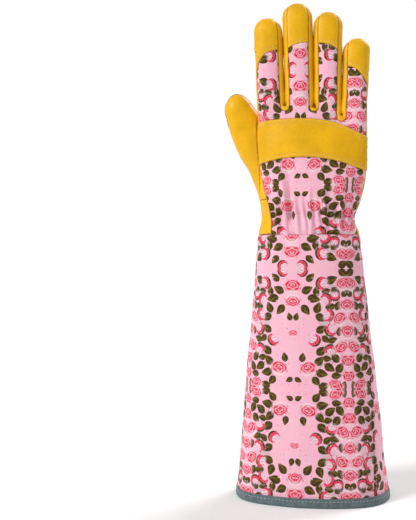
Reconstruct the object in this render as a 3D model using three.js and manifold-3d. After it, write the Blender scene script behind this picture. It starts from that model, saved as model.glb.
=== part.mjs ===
// A right-hand rose pruning gauntlet, filled out as a hand fills it, fingers up.
// It has a leather palm, thumb and fingertips, a printed cloth back, a leather strap over the
// knuckles, a padded palm patch, dark fingertips on the palm side, and a long printed cloth
// sleeve with a bound hem. Millimetres. +Z runs up the hand, the back of the hand faces -Y,
// the thumb is at -X, and the origin is the centre of the arm opening, in the hem's plane.
import * as THREE from "three";
import { mergeVertices } from "three/addons/utils/BufferGeometryUtils.js";
import Module from "manifold-3d";

const wasm = await Module();
wasm.setup();

// Overall sizes
const SLEEVE_LENGTH = 241;
const HEM_WIDTH = 140;
const HEM_DEPTH = 100;
const WRIST_WIDTH = 94;
const WRIST_DEPTH = 57;
const HAND_LENGTH = 216;
const PALM_WIDTH = 98.6;
const PALM_DEPTH = 44;
const FINGER_DEPTH = 23;
const THUMB_LENGTH = 112;
const THUMB_WIDTH = 36;
const THUMB_DEPTH = 26;
const WRIST_SHIFT = -3.5; // the wrist's middle stands this far beside the hem's
const HAND_SHIFT = -2.3; // the hand's middle line does too

// Thicknesses, seams and gaps
const CLOTH = 1.2;
const LEATHER = 1.4;
const PAD = 3.2;
const TAPE = 1.0;
const GAP = 0.3;
const BACK_INSET = 3.8; // a finger's side strip shows this wide on its back
const PALM_INSET = 2.6; // and this wide on its palm side
const SIDE_SEAM = 4; // the cloth back ends this far behind the glove's middle plane
const CROTCH_DROP = 5; // a side strip's loop reaches this far below the fork between two fingers
const HAND_TUCK = 6; // the cloth back runs this far down inside the sleeve
const LAP = 3; // the palm leather laps this far over the sleeve's top
const LAP_RUN = 10; // it comes out over it within this depth of the glove's middle plane
const LAP_FROM = 14; // and laps over it from this depth on
const BINDING_WIDTH = 8.5;
const FINGER_CURL = 5; // the fingertips lean this far towards the palm

// Shape of the sections and of the fingertips
const SECTION_POWER = 2.3; // 2 is an ellipse, more is squarer
const TIP_POWER = 2.2; // and so is a fingertip seen from the front
const TIP_LENGTH = 1.05; // a fingertip rounds off over this many half finger widths
const FOLD_LENGTH = 0.45; // of the sleeve's
const GATHER_LENGTH = 0.07; // of the height from the wrist seam to the knuckle line

// Facets
const ARM_SIDES = 32; // the sleeve's and the hand's, so that their facets lie along each other
const FINGER_SIDES = 12;
const THUMB_SIDES = 14;
const CURVE_STEPS = 2; // between two points of an outline
const SHARED = 0.01; // two walls that are joined share this much
const FAR = 400; // past every side of the glove

const sleeveZ = (share) => SLEEVE_LENGTH * share;
const handX = (share) => HAND_SHIFT + PALM_WIDTH * share;
const handZ = (share) => SLEEVE_LENGTH + HAND_LENGTH * share;
const thumbX = (share) => handX(-0.5) + THUMB_WIDTH * share;
const mix = THREE.MathUtils.lerp;
const clamp = THREE.MathUtils.clamp;
const SLEEVE_EASE = CLOTH + GAP; // the sleeve's top stands this far outside the hand

// The height of the line through the forks between the fingers: x in palm widths, z in hand lengths.
const KNUCKLE_LINE = [
  { x: -0.6, z: 0.55 },
  { x: -0.23, z: 0.552 },
  { x: 0.03, z: 0.548 },
  { x: 0.285, z: 0.505 },
  { x: 0.6, z: 0.47 },
];

// Sections up the sleeve, from hem to wrist seam, in shares of the hem's and the wrist's own sizes.
const SLEEVE_ROWS = [
  { up: 0, hem: 1, wrist: 0 },
  { up: 0.25, hem: 0.755, wrist: 0.25 },
  { up: 0.5, hem: 0.505, wrist: 0.5 },
  { up: 0.75, hem: 0.25, wrist: 0.745 },
  { up: 0.9, hem: 0.095, wrist: 0.9 },
  { up: 0.975, hem: 0, wrist: 1 },
  { up: 1, hem: 0, wrist: 1 },
];

// Soft folds down the sleeve: where round it in turns from the back's middle, how wide in turns,
// how high as a share of the hem's depth, and how far up the sleeve it is highest.
const SLEEVE_FOLDS = [
  { turn: 0.11, width: 0.035, rise: 0.014, up: 0.35 },
  { turn: 0.2, width: 0.03, rise: -0.012, up: 0.25 },
  { turn: -0.16, width: 0.04, rise: 0.012, up: 0.2 },
  { turn: -0.07, width: 0.03, rise: -0.01, up: 0.1 },
  { turn: 0.42, width: 0.05, rise: 0.014, up: 0.3 },
  { turn: -0.36, width: 0.045, rise: -0.012, up: 0.4 },
];

// Sections up the body of the hand, from the wrist seam to the knuckle line. Widths and depths are
// shares of the wrist's and of the palm's, shift is in palm widths, back in palm depths, and lap is
// how far the palm side has come out over the sleeve's top.
const BODY_ROWS = [
  { up: -0.06, wrist: 1, palm: 0, wristDeep: 1, palmDeep: 0, shift: 0, back: 0, lap: 1 },
  { up: 0.02, wrist: 1, palm: 0, wristDeep: 1, palmDeep: 0, shift: 0, back: 0, lap: 1 },
  { up: 0.14, wrist: 0.94, palm: 0, wristDeep: 0.95, palmDeep: 0, shift: -0.009, back: 0.01, lap: 0 },
  { up: 0.29, wrist: 0.5, palm: 0.475, wristDeep: 0.5, palmDeep: 0.5, shift: 0.004, back: 0.03, lap: 0 },
  { up: 0.5, wrist: 0, palm: 0.99, wristDeep: 0, palmDeep: 1, shift: 0.02, back: 0.03, lap: 0 },
  { up: 0.8, wrist: 0, palm: 1.03, wristDeep: 0, palmDeep: 0.8, shift: 0.018, back: 0.01, lap: 0 },
  { up: 0.93, wrist: 0, palm: 1.03, wristDeep: 0, palmDeep: 0.66, shift: 0.018, back: 0, lap: 0 },
  { up: 1, wrist: 0, palm: 1.02, wristDeep: 0, palmDeep: 0.46, shift: 0.018, back: 0, lap: 0 },
];

// Gathers that the hidden elastic draws up over the back of the wrist: across in half palm widths
// from the middle, width in palm widths, rise in palm depths, and the height where each is highest.
const GATHERS = [
  { across: -0.62, width: 0.035, rise: 0.045, up: 0.1 },
  { across: -0.4, width: 0.04, rise: 0.06, up: 0.14 },
  { across: -0.13, width: 0.035, rise: 0.055, up: 0.09 },
  { across: 0.1, width: 0.04, rise: 0.05, up: 0.12 },
  { across: 0.34, width: 0.035, rise: 0.06, up: 0.1 },
  { across: 0.56, width: 0.035, rise: 0.055, up: 0.13 },
  { across: 0.76, width: 0.03, rise: 0.04, up: 0.1 },
];

// The fingers: x in palm widths at the fork and at the tip, half widths in palm widths there,
// the tip's height in hand lengths, and how far the leather cap comes over the tip to the palm
// side, in half finger depths past the tip's middle.
const FINGERS = [
  { name: "index", root: -0.366, tip: -0.402, rootHalf: 0.13, tipHalf: 0.132, top: 0.94, wrap: 0.1 },
  { name: "middle", root: -0.096, tip: -0.121, rootHalf: 0.131, tipHalf: 0.141, top: 1, wrap: 0.5 },
  { name: "ring", root: 0.165, tip: 0.17, rootHalf: 0.122, tipHalf: 0.138, top: 0.96, wrap: 0.5 },
  { name: "little", root: 0.415, tip: 0.434, rootHalf: 0.118, tipHalf: 0.122, top: 0.843, wrap: -0.1 },
];
const FINGER_FOOT = 0.4; // where the finger lofts start, inside the hand's body
const FOOT_TAPER = 0.85; // their size there, of the size at the fork
const FINGER_FORK = 0.53; // where a finger's root sizes hold
const FINGER_ROWS = [0, 0.3, 0.6, 0.84, 0.91, 0.96, 0.985]; // heights of its sections, from foot to tip

// Sections up the thumb, from its root inside the palm to its tip. Across in thumb widths from
// the palm's edge, up in thumb lengths from its foot, half width and half depth in thumb sizes,
// and how far its middle stands towards the palm in thumb depths.
const THUMB_FOOT = 0.1; // in hand lengths
const THUMB_ROWS = [
  { across: 0.548, up: 0, half: 0.4, deep: 0.36, front: 0.3 },
  { across: 0.479, up: 0.2, half: 0.5, deep: 0.44, front: 0.36 },
  { across: 0.301, up: 0.4, half: 0.55, deep: 0.5, front: 0.4 },
  { across: 0, up: 0.56, half: 0.54, deep: 0.5, front: 0.42 },
  { across: -0.315, up: 0.74, half: 0.45, deep: 0.46, front: 0.44 },
  { across: -0.52, up: 0.88, half: 0.355, deep: 0.42, front: 0.46 },
  { across: -0.608, up: 0.95, half: 0.25, deep: 0.31, front: 0.47 },
  { across: -0.644, up: 0.985, half: 0.13, deep: 0.17, front: 0.48 },
  { across: -0.657, up: 1, half: 0, deep: 0, front: 0.48 },
];
const THUMB_LEAN = 0.42; // how far its sections are turned from level, in radians
const THUMB_UPRIGHT = 0.5; // below this share of its length they turn back to level

// The lower edges of the leather fingertips on the back, x in palm widths, z in hand lengths.
const CAP_EDGES = {
  index: [[-0.6, 0.668], [-0.503, 0.7], [-0.475, 0.745], [-0.41, 0.778], [-0.28, 0.796]],
  middle: [[-0.26, 0.786], [-0.19, 0.802], [-0.12, 0.814], [0.03, 0.824]],
  ring: [[0.02, 0.82], [0.145, 0.813], [0.21, 0.802], [0.3, 0.774]],
  little: [[0.28, 0.717], [0.37, 0.712], [0.43, 0.699], [0.49, 0.668], [0.6, 0.58]],
};
// The lower edges of the dark fingertips on the palm side, in hand lengths, at the finger's two sides.
const TIP_EDGES = {
  index: [0.78, 0.796], middle: [0.84, 0.838], ring: [0.796, 0.796], little: [0.699, 0.695],
};
// The thumb's dark tip starts on a slanting line through this point, in the same shares as the rows.
const THUMB_TIP_AT = { across: -0.274, up: 0.79, front: 0.43 };

// The strap over the knuckles: its upper and lower edges, x in palm widths, z in hand lengths.
const STRAP_TOP = [
  [-0.6, 0.45], [-0.47, 0.476], [-0.42, 0.486], [-0.3, 0.49], [-0.086, 0.492], [0.058, 0.487],
  [0.2, 0.476], [0.35, 0.451], [0.524, 0.416], [0.6, 0.4],
];
const STRAP_BOTTOM = [
  [-0.6, 0.28], [-0.47, 0.3], [-0.375, 0.311], [-0.245, 0.322], [-0.01, 0.324], [0.13, 0.318],
  [0.275, 0.304], [0.383, 0.288], [0.506, 0.27], [0.6, 0.255],
];

// The padded patch on the palm, a C round the thumb's base, x in palm widths, z in hand lengths.
const PAD_OUTLINE = [
  [-0.403, 0.483], [-0.356, 0.519], [-0.278, 0.526], [-0.012, 0.519], [0.223, 0.494], [0.411, 0.465],
  [0.470, 0.433], [0.466, 0.297], [0.435, 0.133], [0.348, 0.076], [0.129, 0.055], [-0.028, 0.061],
  [-0.137, 0.097], [-0.246, 0.176], [-0.340, 0.283], [-0.371, 0.354], [-0.340, 0.368], [-0.278, 0.365],
  [-0.199, 0.312], [-0.137, 0.279], [-0.059, 0.276], [0.036, 0.293], [0.067, 0.326], [0.051, 0.354],
  [-0.090, 0.390], [-0.246, 0.419], [-0.356, 0.429],
];

// The leather side panel from the thumb's base to the wrist: its edge with the cloth on the back,
// and with the palm leather on the palm side, x in palm widths, z in hand lengths.
const PANEL_TOP = 0.15;
const PANEL_BACK = [
  [-0.35, -0.2], [-0.36, 0.01], [-0.352, 0.05], [-0.36, 0.085], [-0.4, 0.146], [-0.43, 0.19],
  [-0.47, 0.28],
];
const PANEL_PALM = [[-0.33, -0.2], [-0.34, 0], [-0.47, 0.16], [-0.47, 0.28]];

// How a strip between two fingers runs: its loop under the fork, then straight, then narrowing
// over the fingertip. Across in strip widths or half finger widths, the heights in millimetres.
const LOOP = { half: 0.6, rise: 1.5, straightFrom: 8 };
const STRIP_TIP = { across: 0.42, under: 0.3, endAcross: 0.35 };

// A value of a table's column at a place, on a smooth curve through the rows.
function along(rows, key, at, column) {
  const x = rows.map((row) => row[key]);
  const y = rows.map((row) => row[column]);
  const place = clamp(at, x[0], x[x.length - 1]);
  let i = 0;
  while (i < x.length - 2 && place > x[i + 1]) i += 1;
  const slope = (k) => {
    const a = Math.max(k - 1, 0);
    const b = Math.min(k + 1, x.length - 1);
    return (y[b] - y[a]) / (x[b] - x[a]);
  };
  const span = x[i + 1] - x[i];
  const t = (place - x[i]) / span;
  const rise = t * t * (3 - 2 * t);
  const leave = t * (1 - t) * (1 - t) * span * slope(i);
  const arrive = t * t * (1 - t) * span * slope(i + 1);
  return mix(y[i], y[i + 1], rise) + leave - arrive;
}

// A section's point at an angle: 0 is the middle of the back, a quarter turn is the +X side.
function sectionPoint(angle, half, deep) {
  const bend = (v) => Math.sign(v) * Math.abs(v) ** (2 / SECTION_POWER);
  return [half * bend(Math.sin(angle)), -deep * bend(Math.cos(angle))];
}

const bump = (distance, width) => Math.exp(-((distance / width) ** 2));
const angles = (sides) => Array.from({ length: sides }, (_, i) => (2 * Math.PI * i) / sides);

function sleeveRing(up, grow) {
  const value = (column) => along(SLEEVE_ROWS, "up", up, column);
  const half = (value("hem") * HEM_WIDTH + value("wrist") * WRIST_WIDTH) / 2;
  const deep = (value("hem") * HEM_DEPTH + value("wrist") * WRIST_DEPTH) / 2;
  return angles(ARM_SIDES).map((angle) => {
    const turn = angle / (2 * Math.PI);
    const fold = (1 - up) * HEM_DEPTH * SLEEVE_FOLDS.reduce((sum, f) => {
      const off = Math.abs(turn - ((f.turn + 1) % 1));
      return sum + f.rise * bump(Math.min(off, 1 - off), f.width) * bump(up - f.up, FOLD_LENGTH);
    }, 0);
    const [x, y] = sectionPoint(angle, half + grow + fold, deep + grow + fold);
    return new THREE.Vector3(x + value("wrist") * WRIST_SHIFT, y, sleeveZ(up));
  });
}

const knuckle = (x) => along(KNUCKLE_LINE, "x", (x - HAND_SHIFT) / PALM_WIDTH, "z");

function bodyRing(up, grow) {
  const value = (column) => along(BODY_ROWS, "up", up, column);
  const wrist = value("wrist");
  const half = (wrist * WRIST_WIDTH + value("palm") * PALM_WIDTH) / 2;
  const deep = (value("wristDeep") * WRIST_DEPTH + value("palmDeep") * PALM_DEPTH) / 2;
  const middle = mix(HAND_SHIFT, WRIST_SHIFT, wrist) + value("shift") * PALM_WIDTH;
  return angles(ARM_SIDES).map((angle) => {
    const palmward = clamp(sectionPoint(angle, half, deep)[1] / LAP_RUN, 0, 1);
    const seated = mix(-SLEEVE_EASE, LEATHER + GAP, palmward * value("lap"));
    const out = grow + wrist * seated;
    const [x, y] = sectionPoint(angle, half + out, deep + out);
    const gather = y < 0 && up > 0.02 ? PALM_DEPTH * GATHERS.reduce((sum, g) => sum + g.rise
      * bump((x / half - g.across) * half / PALM_WIDTH, g.width) * bump(up - g.up, GATHER_LENGTH), 0) : 0;
    const z = handZ(up * knuckle(x)) + grow * clamp(up, 0, 1);
    return new THREE.Vector3(x + middle, y - gather + value("back") * PALM_DEPTH, z);
  });
}

function fingerRing(finger, row, grow) {
  const tipZ = handZ(finger.top) + grow;
  const z = mix(handZ(FINGER_FOOT), tipZ, row);
  const rise = (z - handZ(FINGER_FORK)) / (handZ(finger.top) - handZ(FINGER_FORK));
  const half = PALM_WIDTH * mix(finger.rootHalf, finger.tipHalf, clamp(rise, 0, 1)) + grow;
  const dome = clamp((tipZ - z) / (TIP_LENGTH * half), 0, 1);
  const round = row > 0 ? Math.sqrt(1 - (1 - dome) ** TIP_POWER) : FOOT_TAPER;
  const lean = FINGER_CURL * Math.max(rise, 0) ** 2;
  const middle = handX(mix(finger.root, finger.tip, rise));
  return angles(FINGER_SIDES).map((angle) => {
    const [x, y] = sectionPoint(angle, half * round, (FINGER_DEPTH / 2 + grow) * round);
    return new THREE.Vector3(middle + x, y + lean, z);
  });
}

function thumbRing(row, grow) {
  const half = Math.max(row.half * THUMB_WIDTH + grow, 0);
  const deep = Math.max(row.deep * THUMB_DEPTH + grow, 0);
  const z = handZ(THUMB_FOOT) + row.up * THUMB_LENGTH;
  return angles(THUMB_SIDES).map((angle) => {
    const [x, y] = sectionPoint(angle, half, deep);
    const lean = THUMB_LEAN * Math.min(row.up / THUMB_UPRIGHT, 1);
    return new THREE.Vector3(
      thumbX(row.across) + x * Math.cos(lean), y + row.front * THUMB_DEPTH, z + x * Math.sin(lean));
  });
}

// A closed solid through a stack of rings, with a point or a flat fan at each end.
function loft(rings) {
  const points = rings.flat();
  const sides = rings[0].length;
  const index = [];
  for (let r = 0; r < rings.length - 1; r += 1) {
    for (let i = 0; i < sides; i += 1) {
      const a = r * sides + i;
      const b = r * sides + ((i + 1) % sides);
      index.push(a, b, a + sides, b, b + sides, a + sides);
    }
  }
  [0, rings.length - 1].forEach((r) => {
    const middle = rings[r].reduce((sum, p) => sum.add(p), new THREE.Vector3()).divideScalar(sides);
    points.push(middle);
    for (let i = 0; i < sides; i += 1) {
      const a = r * sides + i;
      const b = r * sides + ((i + 1) % sides);
      index.push(...(r ? [a, b, points.length - 1] : [b, a, points.length - 1]));
    }
  });
  return solid(new THREE.BufferGeometry().setFromPoints(points).setIndex(index));
}

// A three.js geometry as a solid that can be cut and joined.
function solid(geometry) {
  const bare = geometry.index ? geometry.toNonIndexed() : geometry.clone();
  bare.deleteAttribute("normal");
  bare.deleteAttribute("uv");
  const merged = mergeVertices(bare, 1e-4);
  const kept = [];
  const from = merged.index.array;
  for (let i = 0; i < from.length; i += 3) {
    const [a, b, c] = [from[i], from[i + 1], from[i + 2]];
    if (a !== b && b !== c && a !== c) kept.push(a, b, c);
  }
  const make = (triVerts) => new wasm.Manifold(new wasm.Mesh({
    numProp: 3, vertProperties: merged.attributes.position.array, triVerts: new Uint32Array(triVerts) }));
  const made = make(kept);
  return made.volume() < 0 ? make(kept.reverse()) : made;
}

// A straight wall of everything inside an outline of x and z, between two depths.
function prism(outline, fromY, toY) {
  const shape = new THREE.Shape(outline.map(([x, z]) => new THREE.Vector2(x, z)));
  const wall = new THREE.ExtrudeGeometry(shape, { depth: toY - fromY, bevelEnabled: false });
  return solid(wall.rotateX(Math.PI / 2).translate(0, toY, 0));
}

// Everything between two heights and two depths.
const band = (fromZ, toZ, fromY = -FAR, toY = FAR) => prism(
  [[-FAR, fromZ], [FAR, fromZ], [FAR, toZ], [-FAR, toZ]], fromY, toY);
const slab = (fromY, toY) => band(-FAR, 2 * FAR, fromY, toY);

const placed = (outline) => outline.map(([x, z]) => [handX(x), handZ(z)]);
const lifted = (outline, by) => outline.map(([x, z]) => [x, z + by]);
const unite = (parts) => parts.reduce((sum, part) => sum.add(part));
const cut = (from, parts) => parts.reduce((left, part) => left.subtract(part), from);

function smooth(outline, closed) {
  const points = outline.map(([x, z]) => new THREE.Vector3(x, z, 0));
  const spans = closed ? points.length : points.length - 1;
  const curve = new THREE.CatmullRomCurve3(points, closed, "centripetal");
  const fine = curve.getPoints(CURVE_STEPS * spans);
  return (closed ? fine.slice(0, -1) : fine).map((p) => [p.x, p.y]);
}

// The hand's outer form, grown or shrunk; its fork floors and tips move with it.
const body = (grow) => loft(BODY_ROWS.map((row) => bodyRing(row.up, grow)));
const finger = (f, grow) => loft([...FINGER_ROWS, 1].map((row) => fingerRing(f, row, grow)));
const hand = (grow) => unite([body(grow), ...FINGERS.map((f) => finger(f, grow))]);
const handOuter = hand(0);
const clothShell = handOuter.subtract(hand(-CLOTH));
const leatherShell = handOuter.subtract(hand(-LEATHER));

function thumb(grow) {
  const highest = 1 + Math.min(grow, 0) / THUMB_LENGTH;
  return loft(THUMB_ROWS.map((row) => thumbRing(
    { ...row, up: Math.min(row.up, highest) }, row.up < 1 ? grow : 0)));
}

// A finger's edge towards a neighbour, as an x at a height.
function edgeX(f, side, z) {
  const rise = (z - handZ(FINGER_FORK)) / (handZ(f.top) - handZ(FINGER_FORK));
  return handX(mix(f.root, f.tip, rise) + side * mix(f.rootHalf, f.tipHalf, clamp(rise, 0, 1)));
}

// Where the side strip between two fingers lies on one side of the hand: it narrows to a point at
// each fingertip.
function stripWall(left, right, grow, inset, fromY, toY) {
  const forkX = handX((left.root + left.rootHalf + right.root - right.rootHalf) / 2);
  const floor = handZ(knuckle(forkX)) - CROTCH_DROP;
  const straight = floor + LOOP.straightFrom;
  const rim = (f, side) => {
    const top = handZ(f.top);
    const half = PALM_WIDTH * f.tipHalf;
    const dome = top - half;
    return [
      [forkX - side * (LOOP.half * inset + grow), floor + LOOP.rise - grow],
      [edgeX(f, side, straight) - side * (inset + grow), straight],
      [edgeX(f, side, dome) - side * (inset + grow), dome],
      [edgeX(f, side, top) - side * (STRIP_TIP.across * half + grow), top - STRIP_TIP.under * half],
      [handX(f.tip) + side * (STRIP_TIP.endAcross * half - grow), top + CLOTH],
    ];
  };
  const [lowLeft, ...upLeft] = rim(left, 1);
  const [lowRight, ...upRight] = rim(right, -1);
  const between = [forkX, handZ(Math.max(left.top, right.top)) + LEATHER];
  return prism([
    [forkX, floor - grow], lowRight, ...upRight, between, ...upLeft.reverse(), lowLeft,
  ], fromY, toY);
}

const strips = (grow) => FINGERS.slice(1).map((right, i) => (
  stripWall(FINGERS[i], right, grow, BACK_INSET, -FAR, 0)
    .add(stripWall(FINGERS[i], right, grow, PALM_INSET, -SHARED, FAR))));

// The x halfway into the gap beside a finger, or far outside the hand at its free sides.
function gapX(i) {
  if (i < 0) return -FAR / 4;
  if (i > FINGERS.length - 2) return FAR / 4;
  const level = handZ(FINGERS[3].top);
  return (edgeX(FINGERS[i], 1, level) + edgeX(FINGERS[i + 1], -1, level)) / 2;
}

// Everything above a fingertip's lower edge, no further across than the gaps beside the finger.
function aboveEdge(edge, i, grow) {
  const line = lifted(smooth(edge, false), -grow).map(([x, z]) => ({ x, z }));
  const [left, right] = [gapX(i - 1), gapX(i)];
  const inside = line.filter(({ x }) => x > left && x < right).map(({ x, z }) => [x, z]);
  const at = (x) => [x, along(line, "x", x, "z")];
  return prism([at(left), ...inside, at(right), [right, FAR * 2], [left, FAR * 2]], -FAR, FAR);
}

const caps = (grow) => FINGERS.map((f, i) => aboveEdge(placed(CAP_EDGES[f.name]), i, grow));
const tips = (grow) => FINGERS.map((f, i) => {
  const [left, right] = TIP_EDGES[f.name];
  return aboveEdge([[gapX(i - 1) - 1, handZ(left)], [gapX(i) + 1, handZ(right)]], i, grow);
});
const wrapY = (f) => FINGER_CURL + f.wrap * FINGER_DEPTH / 2;

function sidePanel(grow) {
  const far = -FAR / 4;
  const wall = (outline, fromY, toY) => {
    const edge = placed(outline);
    const [low, high] = [edge[0][1], edge[edge.length - 1][1]];
    return prism([[far, low], ...edge.map(([x, z]) => [x + grow, z]), [far, high]], fromY, toY);
  };
  return wall(PANEL_BACK, -FAR, 0).add(wall(PANEL_PALM, -SHARED, FAR))
    .intersect(band(-FAR, handZ(PANEL_TOP) + grow));
}

// Cloth and leather of the hand
const seamZ = handZ(0);
const thumbHollow = thumb(-LEATHER);
const backSide = slab(-FAR, -SIDE_SEAM);
const palmSide = slab(-SIDE_SEAM + GAP, FAR);
const aboveSeam = band(seamZ, 2 * FAR);
const lap = band(seamZ - LAP, seamZ + LAP, LAP_FROM, FAR);
const backCloth = cut(clothShell.intersect(backSide).intersect(band(seamZ - HAND_TUCK, 2 * FAR)),
  [...strips(GAP), ...caps(GAP), sidePanel(GAP)]);
const palmLeather = cut(leatherShell.intersect(palmSide).intersect(aboveSeam.add(lap)),
  [...strips(GAP), ...tips(GAP), sidePanel(GAP), thumbHollow]);
const panel = leatherShell.intersect(aboveSeam).intersect(sidePanel(0)).subtract(thumbHollow);

// A fingertip's leather cap, over the tip, and the dark leather on its palm side
function capOf(i) {
  const overTip = tips(0)[i].intersect(slab(-SIDE_SEAM - SHARED, wrapY(FINGERS[i])));
  return cut(leatherShell.intersect(backSide.intersect(caps(0)[i]).add(overTip)), strips(GAP));
}
function darkTipOf(i) {
  const palmward = slab(wrapY(FINGERS[i]) + GAP, FAR);
  return cut(leatherShell.intersect(tips(0)[i]).intersect(palmward), strips(GAP));
}

// The thumb's two pieces, seated on the outside of the hand
const thumbShell = cut(thumb(0), [thumbHollow, hand(GAP)]);
function thumbTip(grow) {
  const [x, z] = [thumbX(THUMB_TIP_AT.across), handZ(THUMB_FOOT) + THUMB_TIP_AT.up * THUMB_LENGTH];
  const reach = THUMB_LENGTH;
  const slope = reach * Math.tan(THUMB_LEAN);
  return prism([
    [x - reach, z - slope - grow], [x + reach, z + slope - grow], [x - reach, z + slope + reach],
  ], THUMB_TIP_AT.front * THUMB_DEPTH - grow, FAR);
}

// Pieces laid over the hand
const strapOutline = [
  ...smooth(placed(STRAP_TOP), false), ...smooth(placed(STRAP_BOTTOM), false).reverse()];
const strap = hand(GAP + LEATHER).subtract(hand(GAP)).intersect(prism(strapOutline, -FAR, -SIDE_SEAM));
const over = (grow) => unite([hand(grow), thumb(grow)]);
const pad = over(GAP + PAD).subtract(over(GAP)).intersect(prism(smooth(placed(PAD_OUTLINE), true), 0, FAR));

// The sleeve and its bound hem, whose tape folds round the cloth's edge
const sleeve = (from, to, grow) => loft([from, ...SLEEVE_ROWS.map((row) => row.up)
  .filter((up) => up > from && up < to), to].map((up) => sleeveRing(up, grow)));
const through = (rows, grow) => loft([-1, ...rows, 2].map((up) => (
  sleeveRing(clamp(up, rows[0], rows[rows.length - 1]), grow).map((p) => p.setZ(sleeveZ(up))))));
const ringWall = (fromZ, toZ, outward, inward) => sleeve(
  fromZ / SLEEVE_LENGTH, toZ / SLEEVE_LENGTH, outward).subtract(through([0, SLEEVE_ROWS[1].up], -inward));
const tapeOut = GAP + TAPE;
const sleeveCloth = sleeve(tapeOut / SLEEVE_LENGTH, 1 - GAP / SLEEVE_LENGTH, 0)
  .subtract(through(SLEEVE_ROWS.map((row) => row.up), -CLOTH));
const binding = ringWall(0, BINDING_WIDTH, tapeOut, CLOTH + tapeOut)
  .subtract(ringWall(TAPE, 2 * BINDING_WIDTH, GAP, CLOTH + GAP));

const COLOURS = {
  leather: { color: 0xe2a80f, roughness: 0.62, metalness: 0 },
  cloth: { color: 0xf6a8bf, roughness: 0.85, metalness: 0 },
  dark: { color: 0x161616, roughness: 0.8, metalness: 0 },
  tape: { color: 0x5d6e6e, roughness: 0.8, metalness: 0 },
};

// Where boolean cuts leave slivers beside a piece, only the piece itself is kept.
const gauntlet = new THREE.Group();
function place(name, piece, material) {
  const [largest] = piece.decompose().sort((a, b) => b.volume() - a.volume());
  const { vertProperties, triVerts } = largest.getMesh();
  const geometry = new THREE.BufferGeometry();
  geometry.setAttribute("position", new THREE.BufferAttribute(vertProperties, 3));
  geometry.setIndex(new THREE.BufferAttribute(triVerts, 1));
  geometry.computeVertexNormals();
  const mesh = new THREE.Mesh(geometry, new THREE.MeshStandardMaterial(COLOURS[material]));
  mesh.name = name;
  gauntlet.add(mesh);
}

place("sleeve", sleeveCloth, "cloth");
place("hem_binding", binding, "tape");
place("back_cloth", backCloth, "cloth");
place("palm_leather", palmLeather, "leather");
place("side_panel", panel, "leather");
place("knuckle_strap", strap, "leather");
place("palm_pad", pad, "dark");
strips(0).forEach((strip, i) => place(
  `side_strip_${FINGERS[i].name}_${FINGERS[i + 1].name}`, leatherShell.intersect(strip), "leather"));
FINGERS.forEach((f, i) => place(`cap_${f.name}`, capOf(i), "leather"));
FINGERS.forEach((f, i) => place(`dark_tip_${f.name}`, darkTipOf(i), "dark"));
place("thumb_leather", thumbShell.subtract(thumbTip(GAP)), "leather");
place("dark_tip_thumb", thumbShell.intersect(thumbTip(0)), "dark");

export default gauntlet;
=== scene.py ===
import math

import bmesh
import bpy
import numpy as np
from bpy.props import FloatProperty, FloatVectorProperty, PointerProperty
from mathutils import Matrix, Vector
from mathutils.bvhtree import BVHTree
from mathutils.kdtree import KDTree


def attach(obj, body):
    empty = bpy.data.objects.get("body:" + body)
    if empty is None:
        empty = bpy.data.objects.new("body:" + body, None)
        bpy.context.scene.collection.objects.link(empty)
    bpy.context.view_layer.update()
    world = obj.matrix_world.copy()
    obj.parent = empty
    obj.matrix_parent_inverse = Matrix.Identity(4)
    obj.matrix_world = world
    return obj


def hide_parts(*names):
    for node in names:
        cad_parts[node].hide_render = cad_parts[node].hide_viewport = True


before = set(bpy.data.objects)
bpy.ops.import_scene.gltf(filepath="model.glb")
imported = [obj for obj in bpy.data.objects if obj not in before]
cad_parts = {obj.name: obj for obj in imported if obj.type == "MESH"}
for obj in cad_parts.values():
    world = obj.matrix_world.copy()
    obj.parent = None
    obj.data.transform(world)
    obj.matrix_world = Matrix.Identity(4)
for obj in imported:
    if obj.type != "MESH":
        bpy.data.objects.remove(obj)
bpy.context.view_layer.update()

bl_info = {
    "name": "Rose pruning gauntlet",
    "version": (1, 0, 0),
    "blender": (4, 5, 0),
    "location": "View3D > Sidebar > Gauntlet",
    "description": "Sews a right-hand rose pruning gauntlet piece by piece on the form of a hand",
    "category": "Mesh",
}

MM = 0.001
FAR = 0.4  # further than any part of the glove
GAP = 0.3 * MM  # between pieces that lie on each other
HAND_SHIFT = -2.3 * MM  # the hand's middle line stands this far beside the hem's
WRIST_SHIFT = -3.5 * MM  # and the wrist's this far
SIDE_SEAM = 4 * MM  # the cloth back ends this far behind the glove's middle plane
BACK_INSET = 3.8 * MM  # how far the finger strips reach onto the back, and onto the palm side
PALM_INSET = 2.6 * MM
CROTCH_DROP = 5 * MM  # the strips go this far below the forks
HAND_TUCK = 6 * MM  # the cloth back goes this far down inside the sleeve
LAP = 3 * MM  # the palm leather laps this far down over the sleeve, from its sides inwards
LAP_RUN = 10 * MM
LAP_FROM = 14 * MM
BINDING_WIDTH = 8.5 * MM
TAPE = 1.0 * MM
FINGER_CURL = 5 * MM
SECTION_POWER = 2.3  # how square the sections of hand and arm are: 2 is an ellipse
TIP_POWER = 2.2
TIP_LENGTH = 1.05
SLIVER = 0.2 * MM  # points nearer each other than this are one
STEEP = 0.42  # no stitches where the surface turns further away than this
THIN = 0.15 * MM  # triangles thinner than this are turned or dropped
FORM_STEP = 1.1 * MM  # the hand form's mesh size
PAD_STEP = 0.95 * MM
SAME = 1e-6

# The height of the line through the forks between the fingers: x in palm widths, z in hand lengths.
KNUCKLES = {"x": (-0.6, -0.23, 0.03, 0.285, 0.6), "z": (0.55, 0.552, 0.548, 0.505, 0.47)}

# Sections up the sleeve, in shares of the hem's and the wrist's sizes.
SLEEVE = {
    "up": (0, 0.25, 0.5, 0.75, 0.9, 0.975, 1),
    "hem": (1, 0.755, 0.505, 0.25, 0.095, 0, 0),
    "wrist": (0, 0.25, 0.5, 0.745, 0.9, 1, 1),
}
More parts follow.
